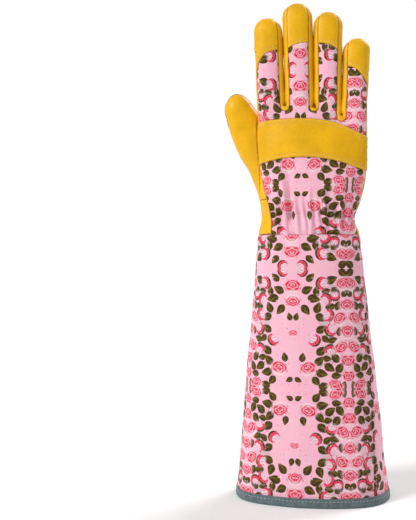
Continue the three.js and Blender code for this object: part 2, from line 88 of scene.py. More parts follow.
# Where round it in turns, how wide, how high in hem depths, how far up it is highest, how long.
SLEEVE_FOLDS = (
    (0.11, 0.035, 0.014, 0.35, 0.45), (0.2, 0.03, -0.012, 0.25, 0.45), (-0.16, 0.04, 0.012, 0.2, 0.45),
    (-0.07, 0.03, -0.01, 0.1, 0.45), (0.42, 0.05, 0.014, 0.3, 0.45), (-0.36, 0.045, -0.012, 0.4, 0.45),
    (0.03, 0.012, 0.006, 0.86, 0.12), (-0.045, 0.011, 0.007, 0.9, 0.1), (-0.12, 0.013, 0.006, 0.88, 0.12),
    (0.095, 0.011, 0.006, 0.9, 0.1), (0.155, 0.011, 0.005, 0.86, 0.13), (-0.19, 0.012, 0.005, 0.9, 0.1),
)

BODY = {
    "up": (-0.06, 0.02, 0.14, 0.29, 0.5, 0.8, 0.93, 1),
    "wrist": (1, 1, 0.94, 0.5, 0, 0, 0, 0),
    "palm": (0, 0, 0, 0.475, 0.99, 1.03, 1.03, 1.02),
    "wrist_deep": (1, 1, 0.95, 0.5, 0, 0, 0, 0),
    "palm_deep": (0, 0, 0, 0.5, 1, 0.8, 0.66, 0.46),
    "shift": (0, 0, -0.009, 0.004, 0.02, 0.018, 0.018, 0.018),
    "back": (0, 0, 0.01, 0.03, 0.03, 0.01, 0, 0),
    "lap": (1, 1, 0, 0, 0, 0, 0, 0),
}

# x in palm widths at the fork and at the tip, half widths there, the tip's height in hand lengths,
# and how far the leather cap comes over the tip, in half finger depths past the tip's middle.
FINGERS = (
    {"name": "index", "root": -0.366, "tip": -0.402, "root_half": 0.13, "tip_half": 0.132, "top": 0.94,
     "wrap": 0.1, "spread": -6 * MM},
    {"name": "middle", "root": -0.096, "tip": -0.121, "root_half": 0.131, "tip_half": 0.141, "top": 1,
     "wrap": 0.5, "spread": -2 * MM},
    {"name": "ring", "root": 0.165, "tip": 0.17, "root_half": 0.122, "tip_half": 0.138, "top": 0.96,
     "wrap": 0.5, "spread": 2 * MM},
    {"name": "little", "root": 0.415, "tip": 0.434, "root_half": 0.118, "tip_half": 0.122, "top": 0.843,
     "wrap": -0.1, "spread": 6 * MM},
)
# Where the fingers' tubes start inside the palm, and the height that their lean is measured from.
FINGER_FOOT = 0.4
FINGER_FORK = 0.53

# The thumb, in thumb widths from the palm's edge and shares of its length, depths in thumb depths.
THUMB_FOOT = 0.1
THUMB_LEAN = 0.42
THUMB_UPRIGHT = 0.5
THUMB_DOME = 0.86
THUMB = {
    "up": (0, 0.2, 0.4, 0.56, 0.74, 0.88, 0.95, 0.985, 1),
    "across": (0.548, 0.479, 0.301, 0, -0.315, -0.52, -0.608, -0.644, -0.657),
    "half": (0.4, 0.5, 0.55, 0.54, 0.45, 0.355, 0.25, 0.13, 0),
    "deep": (0.36, 0.44, 0.5, 0.5, 0.46, 0.42, 0.31, 0.17, 0),
    "front": (0.3, 0.36, 0.4, 0.42, 0.44, 0.46, 0.47, 0.48, 0.48),
}
THUMB_TIP = (-0.274, 0.79, 0.43)  # where its dark tip starts: across, up and back

# Edges of the pieces: x in palm widths, z in hand lengths.
CAP_EDGES = {
    "index": ((-0.6, 0.668), (-0.503, 0.7), (-0.475, 0.745), (-0.41, 0.778), (-0.28, 0.796)),
    "middle": ((-0.26, 0.786), (-0.19, 0.802), (-0.12, 0.814), (0.03, 0.824)),
    "ring": ((0.02, 0.82), (0.145, 0.813), (0.21, 0.802), (0.3, 0.774)),
    "little": ((0.28, 0.717), (0.37, 0.712), (0.43, 0.699), (0.49, 0.668), (0.6, 0.58)),
}
TIP_EDGES = {
    "index": (0.78, 0.796), "middle": (0.84, 0.838), "ring": (0.796, 0.796), "little": (0.699, 0.695),
}
STRAP_TOP = (
    (-0.6, 0.45), (-0.47, 0.476), (-0.42, 0.486), (-0.3, 0.49), (-0.086, 0.492), (0.058, 0.487),
    (0.2, 0.476), (0.35, 0.451), (0.524, 0.416), (0.6, 0.4),
)
STRAP_BOTTOM = (
    (-0.6, 0.28), (-0.47, 0.3), (-0.375, 0.311), (-0.245, 0.322), (-0.01, 0.324), (0.13, 0.318),
    (0.275, 0.304), (0.383, 0.288), (0.506, 0.27), (0.6, 0.255),
)
PAD_OUTLINE = (
    (-0.386, 0.480), (-0.345, 0.514), (-0.278, 0.524), (-0.012, 0.519), (0.223, 0.494), (0.411, 0.465),
    (0.470, 0.433), (0.466, 0.297), (0.435, 0.133), (0.348, 0.076), (0.129, 0.055), (-0.028, 0.061),
    (-0.137, 0.097), (-0.246, 0.176), (-0.340, 0.283), (-0.371, 0.354), (-0.340, 0.368), (-0.278, 0.365),
    (-0.199, 0.312), (-0.137, 0.279), (-0.059, 0.276), (0.036, 0.293), (0.067, 0.326), (0.051, 0.354),
    (-0.090, 0.390), (-0.246, 0.419), (-0.342, 0.432),
)
# Lines sewn through the pad, x in palm widths, z in hand lengths.
PAD_QUILTING = (((-0.02, 0.49), (0.12, 0.385)), ((-0.06, 0.245), (0.17, 0.085)))
PANEL_TOP = 0.15
PANEL_BACK = (
    (-0.35, -0.2), (-0.36, 0.01), (-0.352, 0.05), (-0.36, 0.085), (-0.4, 0.146), (-0.43, 0.19),
    (-0.47, 0.28),
)
PANEL_PALM = ((-0.33, -0.2), (-0.34, 0), (-0.47, 0.16), (-0.47, 0.28))

# Puckers that the hidden elastic draws up over the back of the wrist: x, height above the seam,
# how far it stands out, its width and its length, in millimetres.
PUCKER_DEPTH = 1.75
PUCKERS = (
    (-37, 19, 1.9, 2.1, 12), (-30.5, 17, 2.3, 2.0, 15), (-24, 22, 2.6, 2.3, 30), (-14.5, 16, 2.5, 2.3, 14),
    (-8.5, 18, 1.8, 1.8, 11), (-2, 17, 2.5, 2.2, 17), (4.5, 16, 2.0, 1.9, 12), (10.5, 19, 2.5, 2.2, 19),
    (17.5, 16, 2.2, 2.0, 12), (24, 18, 2.6, 2.2, 18), (30.5, 17, 2.1, 1.9, 12), (36.5, 19, 2.2, 2.0, 14),
    (-19, 30, -1.6, 1.9, 26), (-33.5, 8, 1.1, 1.6, 7), (-20.5, 7, 1.2, 1.5, 7), (-5.5, 8, 1.2, 1.5, 7),
    (7.5, 7, 1.2, 1.5, 7), (20.5, 8, 1.2, 1.6, 7), (33.5, 8, 1.1, 1.5, 7),
)
FORK_SWELL = (1.1, 1.1, 2.2)  # mm that the fingers' sides swell just above each fork, where they touch
ELASTIC_HEIGHT = 17 * MM  # the elastic crosses the back this far above the wrist seam

# The sewn seam up the sleeve, in turns from the middle of the back, at the hem and at the wrist.
SLEEVE_SEAM = (0.138, 0.211)
SLEEVE_STITCH_TURN = 0.0068  # its row of stitches stands this far beside it
# The sleeve's lengths are measured over this many places, a little further than once round.
ROUND = np.linspace(-0.5, 1.2, 1400)
MEAN_RADIUS = 60 * MM
# Where the print starts on the sleeve and on the back.
SLEEVE_PRINT = (0.015, -0.103)
BACK_PRINT = (0.011, 0.02)

# Rows of stitches: how far inside the edge they run.
CAP_ROWS = (1.7 * MM, 3.7 * MM)
TIP_ROWS = (2.6 * MM, 4.8 * MM)
STRAP_ROWS = (1.9 * MM, 4.4 * MM)
THUMB_TIP_ROWS = (2.8 * MM, 5.2 * MM)
HEM_ROW = 2.6 * MM
LAP_ROW = 2.6 * MM
PAD_ROW = 2.6 * MM
# Stitches: each one's length, the space to the next, and its width.
FINE_STITCH = (1.9 * MM, 0.8 * MM, 0.55 * MM)
DARK_STITCH = (2.0 * MM, 0.8 * MM, 0.55 * MM)
PAD_STITCH = (2.2 * MM, 0.9 * MM, 0.55 * MM)

PAD_PRESSURE = 4.0
PAD_RISE = 1.3 * MM  # the padding lifts no point further than this
PAD_FACING = 1.6 * MM


class GauntletSizes(bpy.types.PropertyGroup):
    """The sizes that a glove cutter would change"""

    def length(name, default, description):
        return FloatProperty(
            name=name, description=description, default=default * MM, min=0.1 * MM, unit="LENGTH",
            precision=4)

    sleeve_length: length("Sleeve length", 241, "From the hem to the wrist seam")
    hem_width: length("Hem width", 140, "Across the arm opening")
    hem_depth: length("Hem depth", 100, "From back to palm side at the arm opening")
    wrist_width: length("Wrist width", 94, "Across the wrist seam")
    wrist_depth: length("Wrist depth", 57, "From back to palm side at the wrist seam")
    hand_length: length("Hand length", 216, "From the wrist seam to the middle fingertip")
    palm_width: length("Palm width", 98.6, "Across the palm")
    palm_depth: length("Palm depth", 44, "From back to palm side of the palm")
    finger_depth: length("Finger depth", 23, "From back to palm side of a finger")
    thumb_length: length("Thumb length", 112, "From the thumb's root to its tip")
    thumb_width: length("Thumb width", 36, "Across the thumb")
    thumb_depth: length("Thumb depth", 26, "From back to palm side of the thumb")
    leather: length("Leather", 1.4, "The leather's thickness")
    cloth: length("Cloth", 1.2, "The cloth's thickness")
    pad: length("Pad", 3.2, "The palm pad's thickness")


class GauntletColours(bpy.types.PropertyGroup):
    """The colours that a glove maker would change"""

    def colour(name, default, description):
        return FloatVectorProperty(
            name=name, description=description, default=default, size=3, min=0, max=1, subtype="COLOR")

    leather: colour("Leather", (0.79, 0.42, 0.002), "The palm, thumb, strap and fingertips")
    ground: colour("Cloth ground", (0.9, 0.465, 0.58), "The cloth between the roses")
    petal_light: colour("Light petals", (0.84, 0.62, 0.67), "The petals' lips")
    petal: colour("Petals", (0.82, 0.115, 0.205), "The roses' middle tone")
    petal_deep: colour("Deep petals", (0.7, 0.01, 0.05), "The roses' folds")
    leaf: colour("Leaves", (0.185, 0.118, 0.008), "The light half of a leaf")
    leaf_deep: colour("Leaf shade", (0.026, 0.019, 0.004), "The dark half of a leaf")
    dark: colour("Dark facing", (0.0042, 0.0042, 0.0046), "The pad and the palm side's fingertips")
    tape: colour("Hem tape", (0.105, 0.145, 0.155), "The binding of the hem")
    thread: colour("Thread", (0.8, 0.56, 0.11), "The stitches on the leather")


def sizes():
    return bpy.context.scene.gauntlet_sizes


def colours():
    return bpy.context.scene.gauntlet_colours


# Shapes of the hand and sleeve, in metres

def along(table, key, column, at):
    """A column's value at a place, on a smooth curve through the table's rows."""
    x, y = np.array(table[key], float), np.array(table[column], float)
    at = np.clip(np.asarray(at, float), x[0], x[-1])
    i = np.clip(np.searchsorted(x, at) - 1, 0, len(x) - 2)
    slope = np.gradient(y)
    slope[1:-1] = (y[2:] - y[:-2]) / (x[2:] - x[:-2])
    slope[0] = (y[1] - y[0]) / (x[1] - x[0])
    slope[-1] = (y[-1] - y[-2]) / (x[-1] - x[-2])
    span = x[i + 1] - x[i]
    t = (at - x[i]) / span
    rise = t * t * (3 - 2 * t)
    leave = t * (1 - t) ** 2 * span * slope[i]
    arrive = t * t * (1 - t) * span * slope[i + 1]
    return y[i] + (y[i + 1] - y[i]) * rise + leave - arrive


def bump(distance, width):
    return np.exp(-((distance / width) ** 2))


def ease(low, high, at):
    t = np.clip((at - low) / (high - low), 0, 1)
    return t * t * (3 - 2 * t)


def section(angle, half, deep):
    """A section's point at an angle: 0 is the middle of the back, a quarter turn is the +X side."""
    def bend(v):
        return np.sign(v) * np.abs(v) ** (2 / SECTION_POWER)
    return half * bend(np.sin(angle)), -deep * bend(np.cos(angle))


def hand_x(share):
    return HAND_SHIFT + sizes().palm_width * share


def hand_z(share):
    return sizes().sleeve_length + sizes().hand_length * share


def thumb_x(share):
    return hand_x(-0.5) + sizes().thumb_width * share


def knuckle(x):
    return along(KNUCKLES, "x", "z", (x - HAND_SHIFT) / sizes().palm_width)


def sleeve_point(angle, up, grow=0.0):
    s = sizes()
    hem, wrist = along(SLEEVE, "up", "hem", up), along(SLEEVE, "up", "wrist", up)
    half = (hem * s.hem_width + wrist * s.wrist_width) / 2
    deep = (hem * s.hem_depth + wrist * s.wrist_depth) / 2
    turn = angle / (2 * math.pi)
    fold = 0
    for at, width, rise, high, long in SLEEVE_FOLDS:
        off = np.abs((turn - at + 0.5) % 1 - 0.5)
        fold = fold + rise * bump(off, width) * bump(up - high, long)
    fold = fold * s.hem_depth * np.clip((1 - up) * 1.2, 0, 1)
    x, y = section(angle, half + grow + fold, deep + grow + fold)
    return x + wrist * WRIST_SHIFT, y, s.sleeve_length * up + 0 * angle


def body_point(angle, up):
    s = sizes()
    row = {column: along(BODY, "up", column, up) for column in BODY}
    half = (row["wrist"] * s.wrist_width + row["palm"] * s.palm_width) / 2
    deep = (row["wrist_deep"] * s.wrist_depth + row["palm_deep"] * s.palm_depth) / 2
    middle = HAND_SHIFT + (WRIST_SHIFT - HAND_SHIFT) * row["wrist"] + row["shift"] * s.palm_width
    palmward = np.clip(section(angle, half, deep)[1] / LAP_RUN, 0, 1) * row["lap"]
    inner, outer = s.cloth + GAP, s.leather + GAP
    out = row["wrist"] * (-inner + (inner + outer) * palmward)
    x, y = section(angle, half + out, deep + out)
    return x + middle, y + row["back"] * s.palm_depth, hand_z(up * knuckle(x))


def finger_rise(f, z):
    return (z - hand_z(FINGER_FORK)) / (hand_z(f["top"]) - hand_z(FINGER_FORK))


def finger_middle(f, z):
    return hand_x(f["root"] + (f["tip"] - f["root"]) * finger_rise(f, z))


def finger_half(f, z):
    share = f["root_half"] + (f["tip_half"] - f["root_half"]) * np.clip(finger_rise(f, z), 0, 1)
    return sizes().palm_width * share


def spread(f, z):
    """How far a finger is held away from its neighbours while the form is smoothed."""
    fork = hand_z(knuckle(hand_x(f["root"])))
    return f["spread"] * ease(fork - 2 * MM, fork + 14 * MM, z)


def finger_point(f, angle, row):
    z = hand_z(FINGER_FOOT) + (hand_z(f["top"]) - hand_z(FINGER_FOOT)) * row
    half = finger_half(f, z)
    dome = np.clip((hand_z(f["top"]) - z) / (TIP_LENGTH * half), 0, 1)
    size = np.sqrt(np.clip(1 - (1 - dome) ** TIP_POWER, 0, 1))
    x, y = section(angle, half * size, sizes().finger_depth / 2 * size)
    lean = FINGER_CURL * np.maximum(finger_rise(f, z), 0) ** 2
    return x + finger_middle(f, z) + spread(f, z), y + lean, z


def thumb_point(angle, up, grow=0.0):
    s = sizes()
    row = {column: along(THUMB, "up", column, up) for column in THUMB}
    over = np.clip((up - THUMB_DOME) / (1 - THUMB_DOME), 0, 1)
    dome = np.sqrt(1 - over ** 1.6)
    for column in ("half", "deep"):
        row[column] = np.where(over > 0, along(THUMB, "up", column, THUMB_DOME) * dome, row[column])
    half = np.maximum(row["half"] * s.thumb_width + grow, 0)
    deep = np.maximum(row["deep"] * s.thumb_depth + grow, 0)
    x, y = section(angle, half, deep)
    lean = THUMB_LEAN * np.minimum(up / THUMB_UPRIGHT, 1)
    z = hand_z(THUMB_FOOT) + up * s.thumb_length
    return thumb_x(row["across"]) + x * np.cos(lean), y + row["front"] * s.thumb_depth, z + x * np.sin(lean)


# Working on meshes

def points_of(verts):
    return np.array([v.co for v in verts])


def grid_places(verts):
    """A new grid's points, as shares from 0 to 1 along both its sides."""
    return (np.array([v.co.xy for v in verts]) + 1) / 2


def swell(bm, by):
    """Move each point along its normal."""
    for v, n in [(v, v.normal.copy()) for v in bm.verts]:
        v.co += n * by


def soften(bm, verts, rounds):
    for _ in range(rounds):
        bmesh.ops.smooth_vert(bm, verts=verts, factor=0.5, use_axis_x=True, use_axis_y=True, use_axis_z=True)


def mesh_from(bm, name):
    mesh = bpy.data.meshes.new(name)
    bm.to_mesh(mesh)
    bm.free()
    return mesh


def bmesh_from(mesh):
    bm = bmesh.new()
    bm.from_mesh(mesh)
    return bm


def place_verts(verts, x, y, z):
    for v, *co in zip(verts, x, y, z):
        v.co = co


def bend_grid(bm, around, rows, point, pace=lambda t: t):
    """A grid bent into a tube round the hand or arm, by a function of angle and row."""
    verts = bmesh.ops.create_grid(bm, x_segments=around, y_segments=rows, size=1)["verts"]
    at = grid_places(verts)
    place_verts(verts, *point(2 * math.pi * at[:, 0], pace(at[:, 1])))
    return verts


def closed_tube(bm, around, rows, point, pace=lambda t: t):
    """A bent grid, joined along its edges and closed at both ends."""
    own = bmesh.new()
    bend_grid(own, around, rows, point, pace)
    bmesh.ops.remove_doubles(own, verts=own.verts, dist=SAME)
    bmesh.ops.holes_fill(own, edges=[e for e in own.edges if e.is_boundary], sides=0)
    bmesh.ops.recalc_face_normals(own, faces=own.faces)
    part = mesh_from(own, "tube")
    bm.from_mesh(part)
    bpy.data.meshes.remove(part)


def applied(mesh, kind, **settings):
    """The mesh with one modifier applied."""
    work = bpy.data.objects.new("work", mesh)
    bpy.context.scene.collection.objects.link(work)
    modifier = work.modifiers.new("work", kind)
    for key, value in settings.items():
        setattr(modifier, key, value)
    bpy.context.view_layer.update()
    made = bpy.data.meshes.new_from_object(work.evaluated_get(bpy.context.evaluated_depsgraph_get()))
    bpy.data.objects.remove(work)
    return made


def cut(mesh, cutter, operation="DIFFERENCE"):
    tool = bpy.data.objects.new("cutter", cutter)
    bpy.context.scene.collection.objects.link(tool)
    made = applied(mesh, "BOOLEAN", operation=operation, solver="MANIFOLD", object=tool)
    bpy.data.objects.remove(tool)
    return made


def cut_all(mesh, cutters):
    for cutter in cutters:
        mesh = cut(mesh, cutter)
    return mesh


def two_slots(mesh):
    """Slot 0 holds the skin and slot 1 the walls that a cutter leaves."""
    while len(mesh.materials) < 2:
        mesh.materials.append(None)
    return mesh


def as_wall(mesh):
    mesh.polygons.foreach_set("material_index", [1] * len(mesh.polygons))
    return two_slots(mesh)


def prism(outline, from_y, to_y):
    """A closed wall of everything inside an outline of x and z, between two depths."""
    bm = bmesh.new()
    face = bm.faces.new([bm.verts.new((x, from_y, z)) for x, z in outline])
    made = bmesh.ops.extrude_face_region(bm, geom=[face])["geom"]
    moved = [g for g in made if isinstance(g, bmesh.types.BMVert)]
    bmesh.ops.translate(bm, verts=moved, vec=(0, to_y - from_y, 0))
    bmesh.ops.recalc_face_normals(bm, faces=bm.faces)
    bmesh.ops.triangulate(bm, faces=bm.faces)
    return as_wall(mesh_from(bm, "prism"))


def band(from_z, to_z, from_y=-FAR, to_y=FAR):
    return prism(((-FAR, from_z), (FAR, from_z), (FAR, to_z), (-FAR, to_z)), from_y, to_y)


def placed(outline):
    return [(hand_x(x), hand_z(z)) for x, z in outline]


def smooth(points, closed=False, steps=8):
    """A smooth line through points of x and z, with its tangents set by the spacing of the points."""
    p = [Vector(q) for q in points]
    count = len(p)
    line = []
    for i in range(count if closed else count - 1):
        b, c = p[i], p[(i + 1) % count]
        a = p[i - 1] if closed or i else 2 * b - c
        d = p[(i + 2) % count] if closed or i + 2 < count else 2 * c - b
        ab, bc, cd = ((q - r).length ** 0.5 for q, r in ((b, a), (c, b), (d, c)))
        leave = ((b - a) / ab - (c - a) / (ab + bc) + (c - b) / bc) * bc
        arrive = ((c - b) / bc - (d - b) / (bc + cd) + (d - c) / cd) * bc
        for k in range(steps):
            t = k / steps
            line.append(
                b * (2 * t ** 3 - 3 * t ** 2 + 1) + leave * (t ** 3 - 2 * t ** 2 + t)
                + c * (3 * t ** 2 - 2 * t ** 3) + arrive * (t ** 3 - t ** 2))
    if not closed:
        line.append(p[-1])
    return [tuple(q) for q in line]


# The form that the hand's pieces are cut from

FORM = {}


def hand_form():
    """The closed form of a hand without its thumb, smoothed at the forks, with its folds sculpted."""
    if "hand" in FORM:
        return FORM["hand"]
    bm = bmesh.new()
    closed_tube(bm, 140, 120, lambda a, t: body_point(a, -0.12 + 1.12 * t))
    for f in FINGERS:
        closed_tube(bm, 72, 110, lambda a, t, f=f: finger_point(f, a, t), lambda t: 1 - (1 - t) ** 1.7)
    mesh = applied(mesh_from(bm, "hand"), "REMESH", mode="VOXEL", voxel_size=FORM_STEP, adaptivity=0)
    bm = bmesh_from(mesh)
    soften(bm, bm.verts, 2)
    co = points_of(bm.verts)
    off = co[:, 2] - hand_z(knuckle(co[:, 0]))
    near = [v for v, d in zip(bm.verts, off) if -14 * MM < d < 10 * MM]
    soften(bm, near, 14)
    close_fingers(bm)
    sculpt_hand(bm)
    FORM["hand"] = two_slots(mesh_from(bm, "hand"))
    return FORM["hand"]


def close_fingers(bm):
    """Bring the fingers back side by side."""
    co = points_of(bm.verts)
    away = np.array([
        np.abs(co[:, 0] - finger_middle(f, co[:, 2]) - spread(f, co[:, 2])) / finger_half(f, co[:, 2])
        for f in FINGERS])
    nearest = away.argmin(axis=0)
    shift = np.array([spread(f, co[:, 2]) for f in FINGERS])[nearest, np.arange(len(co))]
    place_verts(bm.verts, co[:, 0] - shift, co[:, 1], co[:, 2])


def waves(co, scale, seed):
    """Soft, even unevenness from -1 to 1, from a few crossing waves."""
    rng = np.random.default_rng(seed)
    total = 0
    for _ in range(7):
        direction = rng.normal(size=3)
        direction *= rng.uniform(0.6, 1.6) / (np.linalg.norm(direction) * scale)
        total = total + np.sin(co @ direction * 2 * math.pi + rng.uniform(0, 2 * math.pi))
    return total / 7 * 1.6


def sculpt_hand(bm):
    """Gathers over the wrist, soft unevenness in the cloth and leather, and creases in the palm."""
    bm.normal_update()
    co = points_of(bm.verts)
    normal = np.array([v.normal for v in bm.verts])
    x, y, z = co.T
    back = ease(-3 * MM, -9 * MM, y)
    palm = 1 - back
    seam = hand_z(0)
    out = np.zeros(len(co))
    for at, high, rise, width, long in PUCKERS:
        sway = 0.8 * MM * np.sin((z - seam) / (9 * MM) + at)
        fan = (x - at * MM) - at * 0.0045 * (z - seam - 15 * MM) + sway
        out += back * PUCKER_DEPTH * rise * MM * bump(fan, width * MM) * bump(z - seam - high * MM, long * MM)
    body = ease(hand_z(0.5), hand_z(0.3), z)
    drawn = z - seam - ELASTIC_HEIGHT
    above_it, below_it = bump(drawn - 15 * MM, 9 * MM), bump(drawn + 9 * MM, 5 * MM)
    out += back * MM * (0.7 * above_it - 1.3 * bump(drawn, 5 * MM) + 0.7 * below_it)
    out -= back * 0.7 * MM * ease(seam + 40 * MM, seam + 5 * MM, z)
    out += back * (0.55 * body + 0.25) * MM * waves(co, 26 * MM, 3)
    out += palm * 0.45 * MM * waves(co, 30 * MM, 5)
    for left, right, swell in zip(FINGERS, FINGERS[1:], FORK_SWELL):
        fork_x = hand_x((left["root"] + left["root_half"] + right["root"] - right["root_half"]) / 2)
        fork_z = hand_z(knuckle(fork_x))
        between = (edge_x(left, 1, z) + edge_x(right, -1, z)) / 2
        facing = np.clip(-normal[:, 0] * np.sign(x - between), 0, 1) * bump(x - between, 4 * MM)
        along_gap = ease(fork_z - 1 * MM, fork_z + 5 * MM, z) * ease(fork_z + 76 * MM, fork_z + 56 * MM, z)
        out += MM * facing * along_gap * (0.42 + swell * bump(z - fork_z - 5 * MM, 9 * MM))
        out -= palm * 1.5 * MM * bump(x - fork_x, 1.7 * MM) * bump(z - fork_z + 4 * MM, 9 * MM)
    co = co + normal * out[:, None]
    place_verts(bm.verts, *co.T)


def thumb_solid(grow=0.0):
    bm = bmesh.new()
    closed_tube(bm, 96, 120, lambda a, t: thumb_point(a, t, grow), lambda t: 1 - (1 - t) ** 1.5)
    if grow == 0:
        bm.normal_update()
        co = points_of(bm.verts)
        co += np.array([v.normal for v in bm.verts]) * (0.35 * MM * waves(co, 24 * MM, 9))[:, None]
        place_verts(bm.verts, *co.T)
    return two_slots(mesh_from(bm, "thumb"))


def grown(mesh, by):
    bm = bmesh_from(mesh)
    bm.normal_update()
    swell(bm, by)
    return two_slots(mesh_from(bm, "grown"))


# Outlines of the pieces

def edge_x(f, side, z):
    return finger_middle(f, z) + side * finger_half(f, z)


def strip_wall(left, right):
    """Where the strip between two fingers lies: a loop under the fork, narrowing to the fingertips."""
    fork_x = hand_x((left["root"] + left["root_half"] + right["root"] - right["root_half"]) / 2)
    floor = hand_z(knuckle(fork_x)) - CROTCH_DROP
    straight = floor + 8 * MM

    def outline(inset):
        def rim(f, side):
            top, half = hand_z(f["top"]), sizes().palm_width * f["tip_half"]
            dome = top - half
            points = [(edge_x(f, side, straight) - side * inset, straight)]
            points += [(edge_x(f, side, z) - side * inset, z) for z in np.linspace(straight, dome, 6)[1:-1]]
            bow = smooth([
                (edge_x(f, side, dome) - side * inset, dome),
                (edge_x(f, side, top) - side * 0.42 * half, top - 0.3 * half),
                (hand_x(f["tip"]) + side * 0.35 * half, top + 1.2 * MM)])
            return points + bow
        loop = [
            (fork_x + 0.98 * inset * math.sin(a), floor + inset * 0.75 - inset * 0.75 * math.cos(a))
            for a in np.linspace(-1.4, 1.4, 9)]
        between = (fork_x, hand_z(max(left["top"], right["top"])) + 4 * MM)
        return loop + rim(right, -1) + [between] + rim(left, 1)[::-1]

    return cut(prism(outline(BACK_INSET), -FAR, 0.0), prism(outline(PALM_INSET), -0.01 * MM, FAR), "UNION")


def gap_x(i):
    if i < 0:
        return -FAR / 4
    if i > len(FINGERS) - 2:
        return FAR / 4
    level = hand_z(FINGERS[3]["top"])
    return (edge_x(FINGERS[i], 1, level) + edge_x(FINGERS[i + 1], -1, level)) / 2


def edge_line(edge, i):
    """A fingertip's lower edge, from the gap on one side of the finger to the gap on the other."""
    line = np.array(smooth(edge))
    left, right = gap_x(i - 1), gap_x(i)
    inside = [tuple(q) for q in line if left < q[0] < right]
    ends = [(x, float(np.interp(x, line[:, 0], line[:, 1]))) for x in (left, right)]
    return [ends[0], *inside, ends[1]]


def above(edge, i, from_y, to_y, lift=0.0):
    line = [(x, z + lift) for x, z in edge_line(edge, i)]
    return prism([*line, (line[-1][0], 2 * FAR), (line[0][0], 2 * FAR)], from_y, to_y)


def cap_edge(i):
    return placed(CAP_EDGES[FINGERS[i]["name"]])


def tip_edge(i):
    low, high = TIP_EDGES[FINGERS[i]["name"]]
    return [(gap_x(i - 1) - 1 * MM, hand_z(low)), (gap_x(i) + 1 * MM, hand_z(high))]


def wrap_y(f):
    return FINGER_CURL + f["wrap"] * sizes().finger_depth / 2


def beside(outline, from_y, to_y):
    """Everything on the thumb's side of a line."""
    edge = smooth(placed(outline))
    return prism([(-FAR / 4, edge[0][1]), *edge, (-FAR / 4, edge[-1][1])], from_y, to_y)


def panel_wall():
    whole = cut(beside(PANEL_BACK, -FAR, 0.0), beside(PANEL_PALM, -0.01 * MM, FAR), "UNION")
    return cut(whole, band(hand_z(PANEL_TOP), 2 * FAR))


def strap_wall():
    return prism(smooth(placed(STRAP_TOP)) + smooth(placed(STRAP_BOTTOM))[::-1], -FAR, -SIDE_SEAM)


def thumb_tip_wall():
    s = sizes()
    x, z = thumb_x(THUMB_TIP[0]), hand_z(THUMB_FOOT) + THUMB_TIP[1] * s.thumb_length
    reach = s.thumb_length
    slope = reach * math.tan(THUMB_LEAN)
    return prism(
        [(x - reach, z - slope), (x + reach, z + slope), (x - reach, z + slope + reach)],
        THUMB_TIP[2] * s.thumb_depth, FAR)


def skins():
    """The hand form cut along its seams, once, into the skins of its pieces."""
    if "skins" in FORM:
        return FORM["skins"]
    form = hand_form()
    made = {}
    walls = [strip_wall(left, right) for left, right in zip(FINGERS, FINGERS[1:])]
    for left, right, wall in zip(FINGERS, FINGERS[1:], walls):
        made[f"side_strip_{left['name']}_{right['name']}"] = cut(form, wall, "INTERSECT")
    rest = cut_all(form, walls)
    seam, panel, hollow = hand_z(0), panel_wall(), as_wall(thumb_solid(-sizes().leather))
    back = cut(rest, band(seam - HAND_TUCK, 2 * FAR, -FAR, -SIDE_SEAM), "INTERSECT")
    margin = cut(beside(PANEL_BACK, -FAR, 0.0), band(seam - FAR, hand_z(PANEL_TOP)))
    palm = cut(rest, cut(band(seam - LAP, 2 * FAR, -SIDE_SEAM, FAR), margin, "UNION"), "INTERSECT")
    back = cut(back, margin)
    palm = cut(palm, band(seam - 2 * LAP, seam, -FAR, LAP_FROM))
    for i, f in enumerate(FINGERS):
        over_tip = above(tip_edge(i), i, -SIDE_SEAM - 0.01 * MM, wrap_y(f))
        cap = cut(above(cap_edge(i), i, -FAR, -SIDE_SEAM), over_tip, "UNION")
        made[f"cap_{f['name']}"] = cut(rest, cap, "INTERSECT")
        made[f"dark_tip_{f['name']}"] = cut(palm, above(tip_edge(i), i, wrap_y(f), FAR), "INTERSECT")
    back = cut(back, panel)
    made["back_cloth"] = cut_all(back, [above(cap_edge(i), i, -FAR, FAR, 1.5 * MM) for i in range(4)])
    palm = cut(cut(palm, panel), hollow)
    made["palm_leather"] = cut_all(palm, [above(tip_edge(i), i, -FAR, FAR) for i in range(4)])
    made["side_panel"] = cut(cut(form, panel, "INTERSECT"), band(seam - FAR, seam))
    made["side_panel"] = cut(made["side_panel"], hollow)
    made["knuckle_strap"] = cut(form, strap_wall(), "INTERSECT")
    FORM["skins"] = made
    return made


# Finishing a skin: its edges, seams, thickness and stitches

def skin_bmesh(mesh):
    """The outer skin only, with the cutter's walls taken away and its edges made fine."""
    bm = bmesh_from(mesh)
    bmesh.ops.delete(bm, geom=[f for f in bm.faces if f.material_index == 1], context="FACES")
    bmesh.ops.remove_doubles(bm, verts=bm.verts, dist=SLIVER)
    bmesh.ops.dissolve_degenerate(bm, edges=bm.edges, dist=0.05 * MM)
    trim_slivers(bm)
    keep_largest(bm)
    for _ in range(2):
        refine_rim(bm)
    bm.normal_update()
    return bm


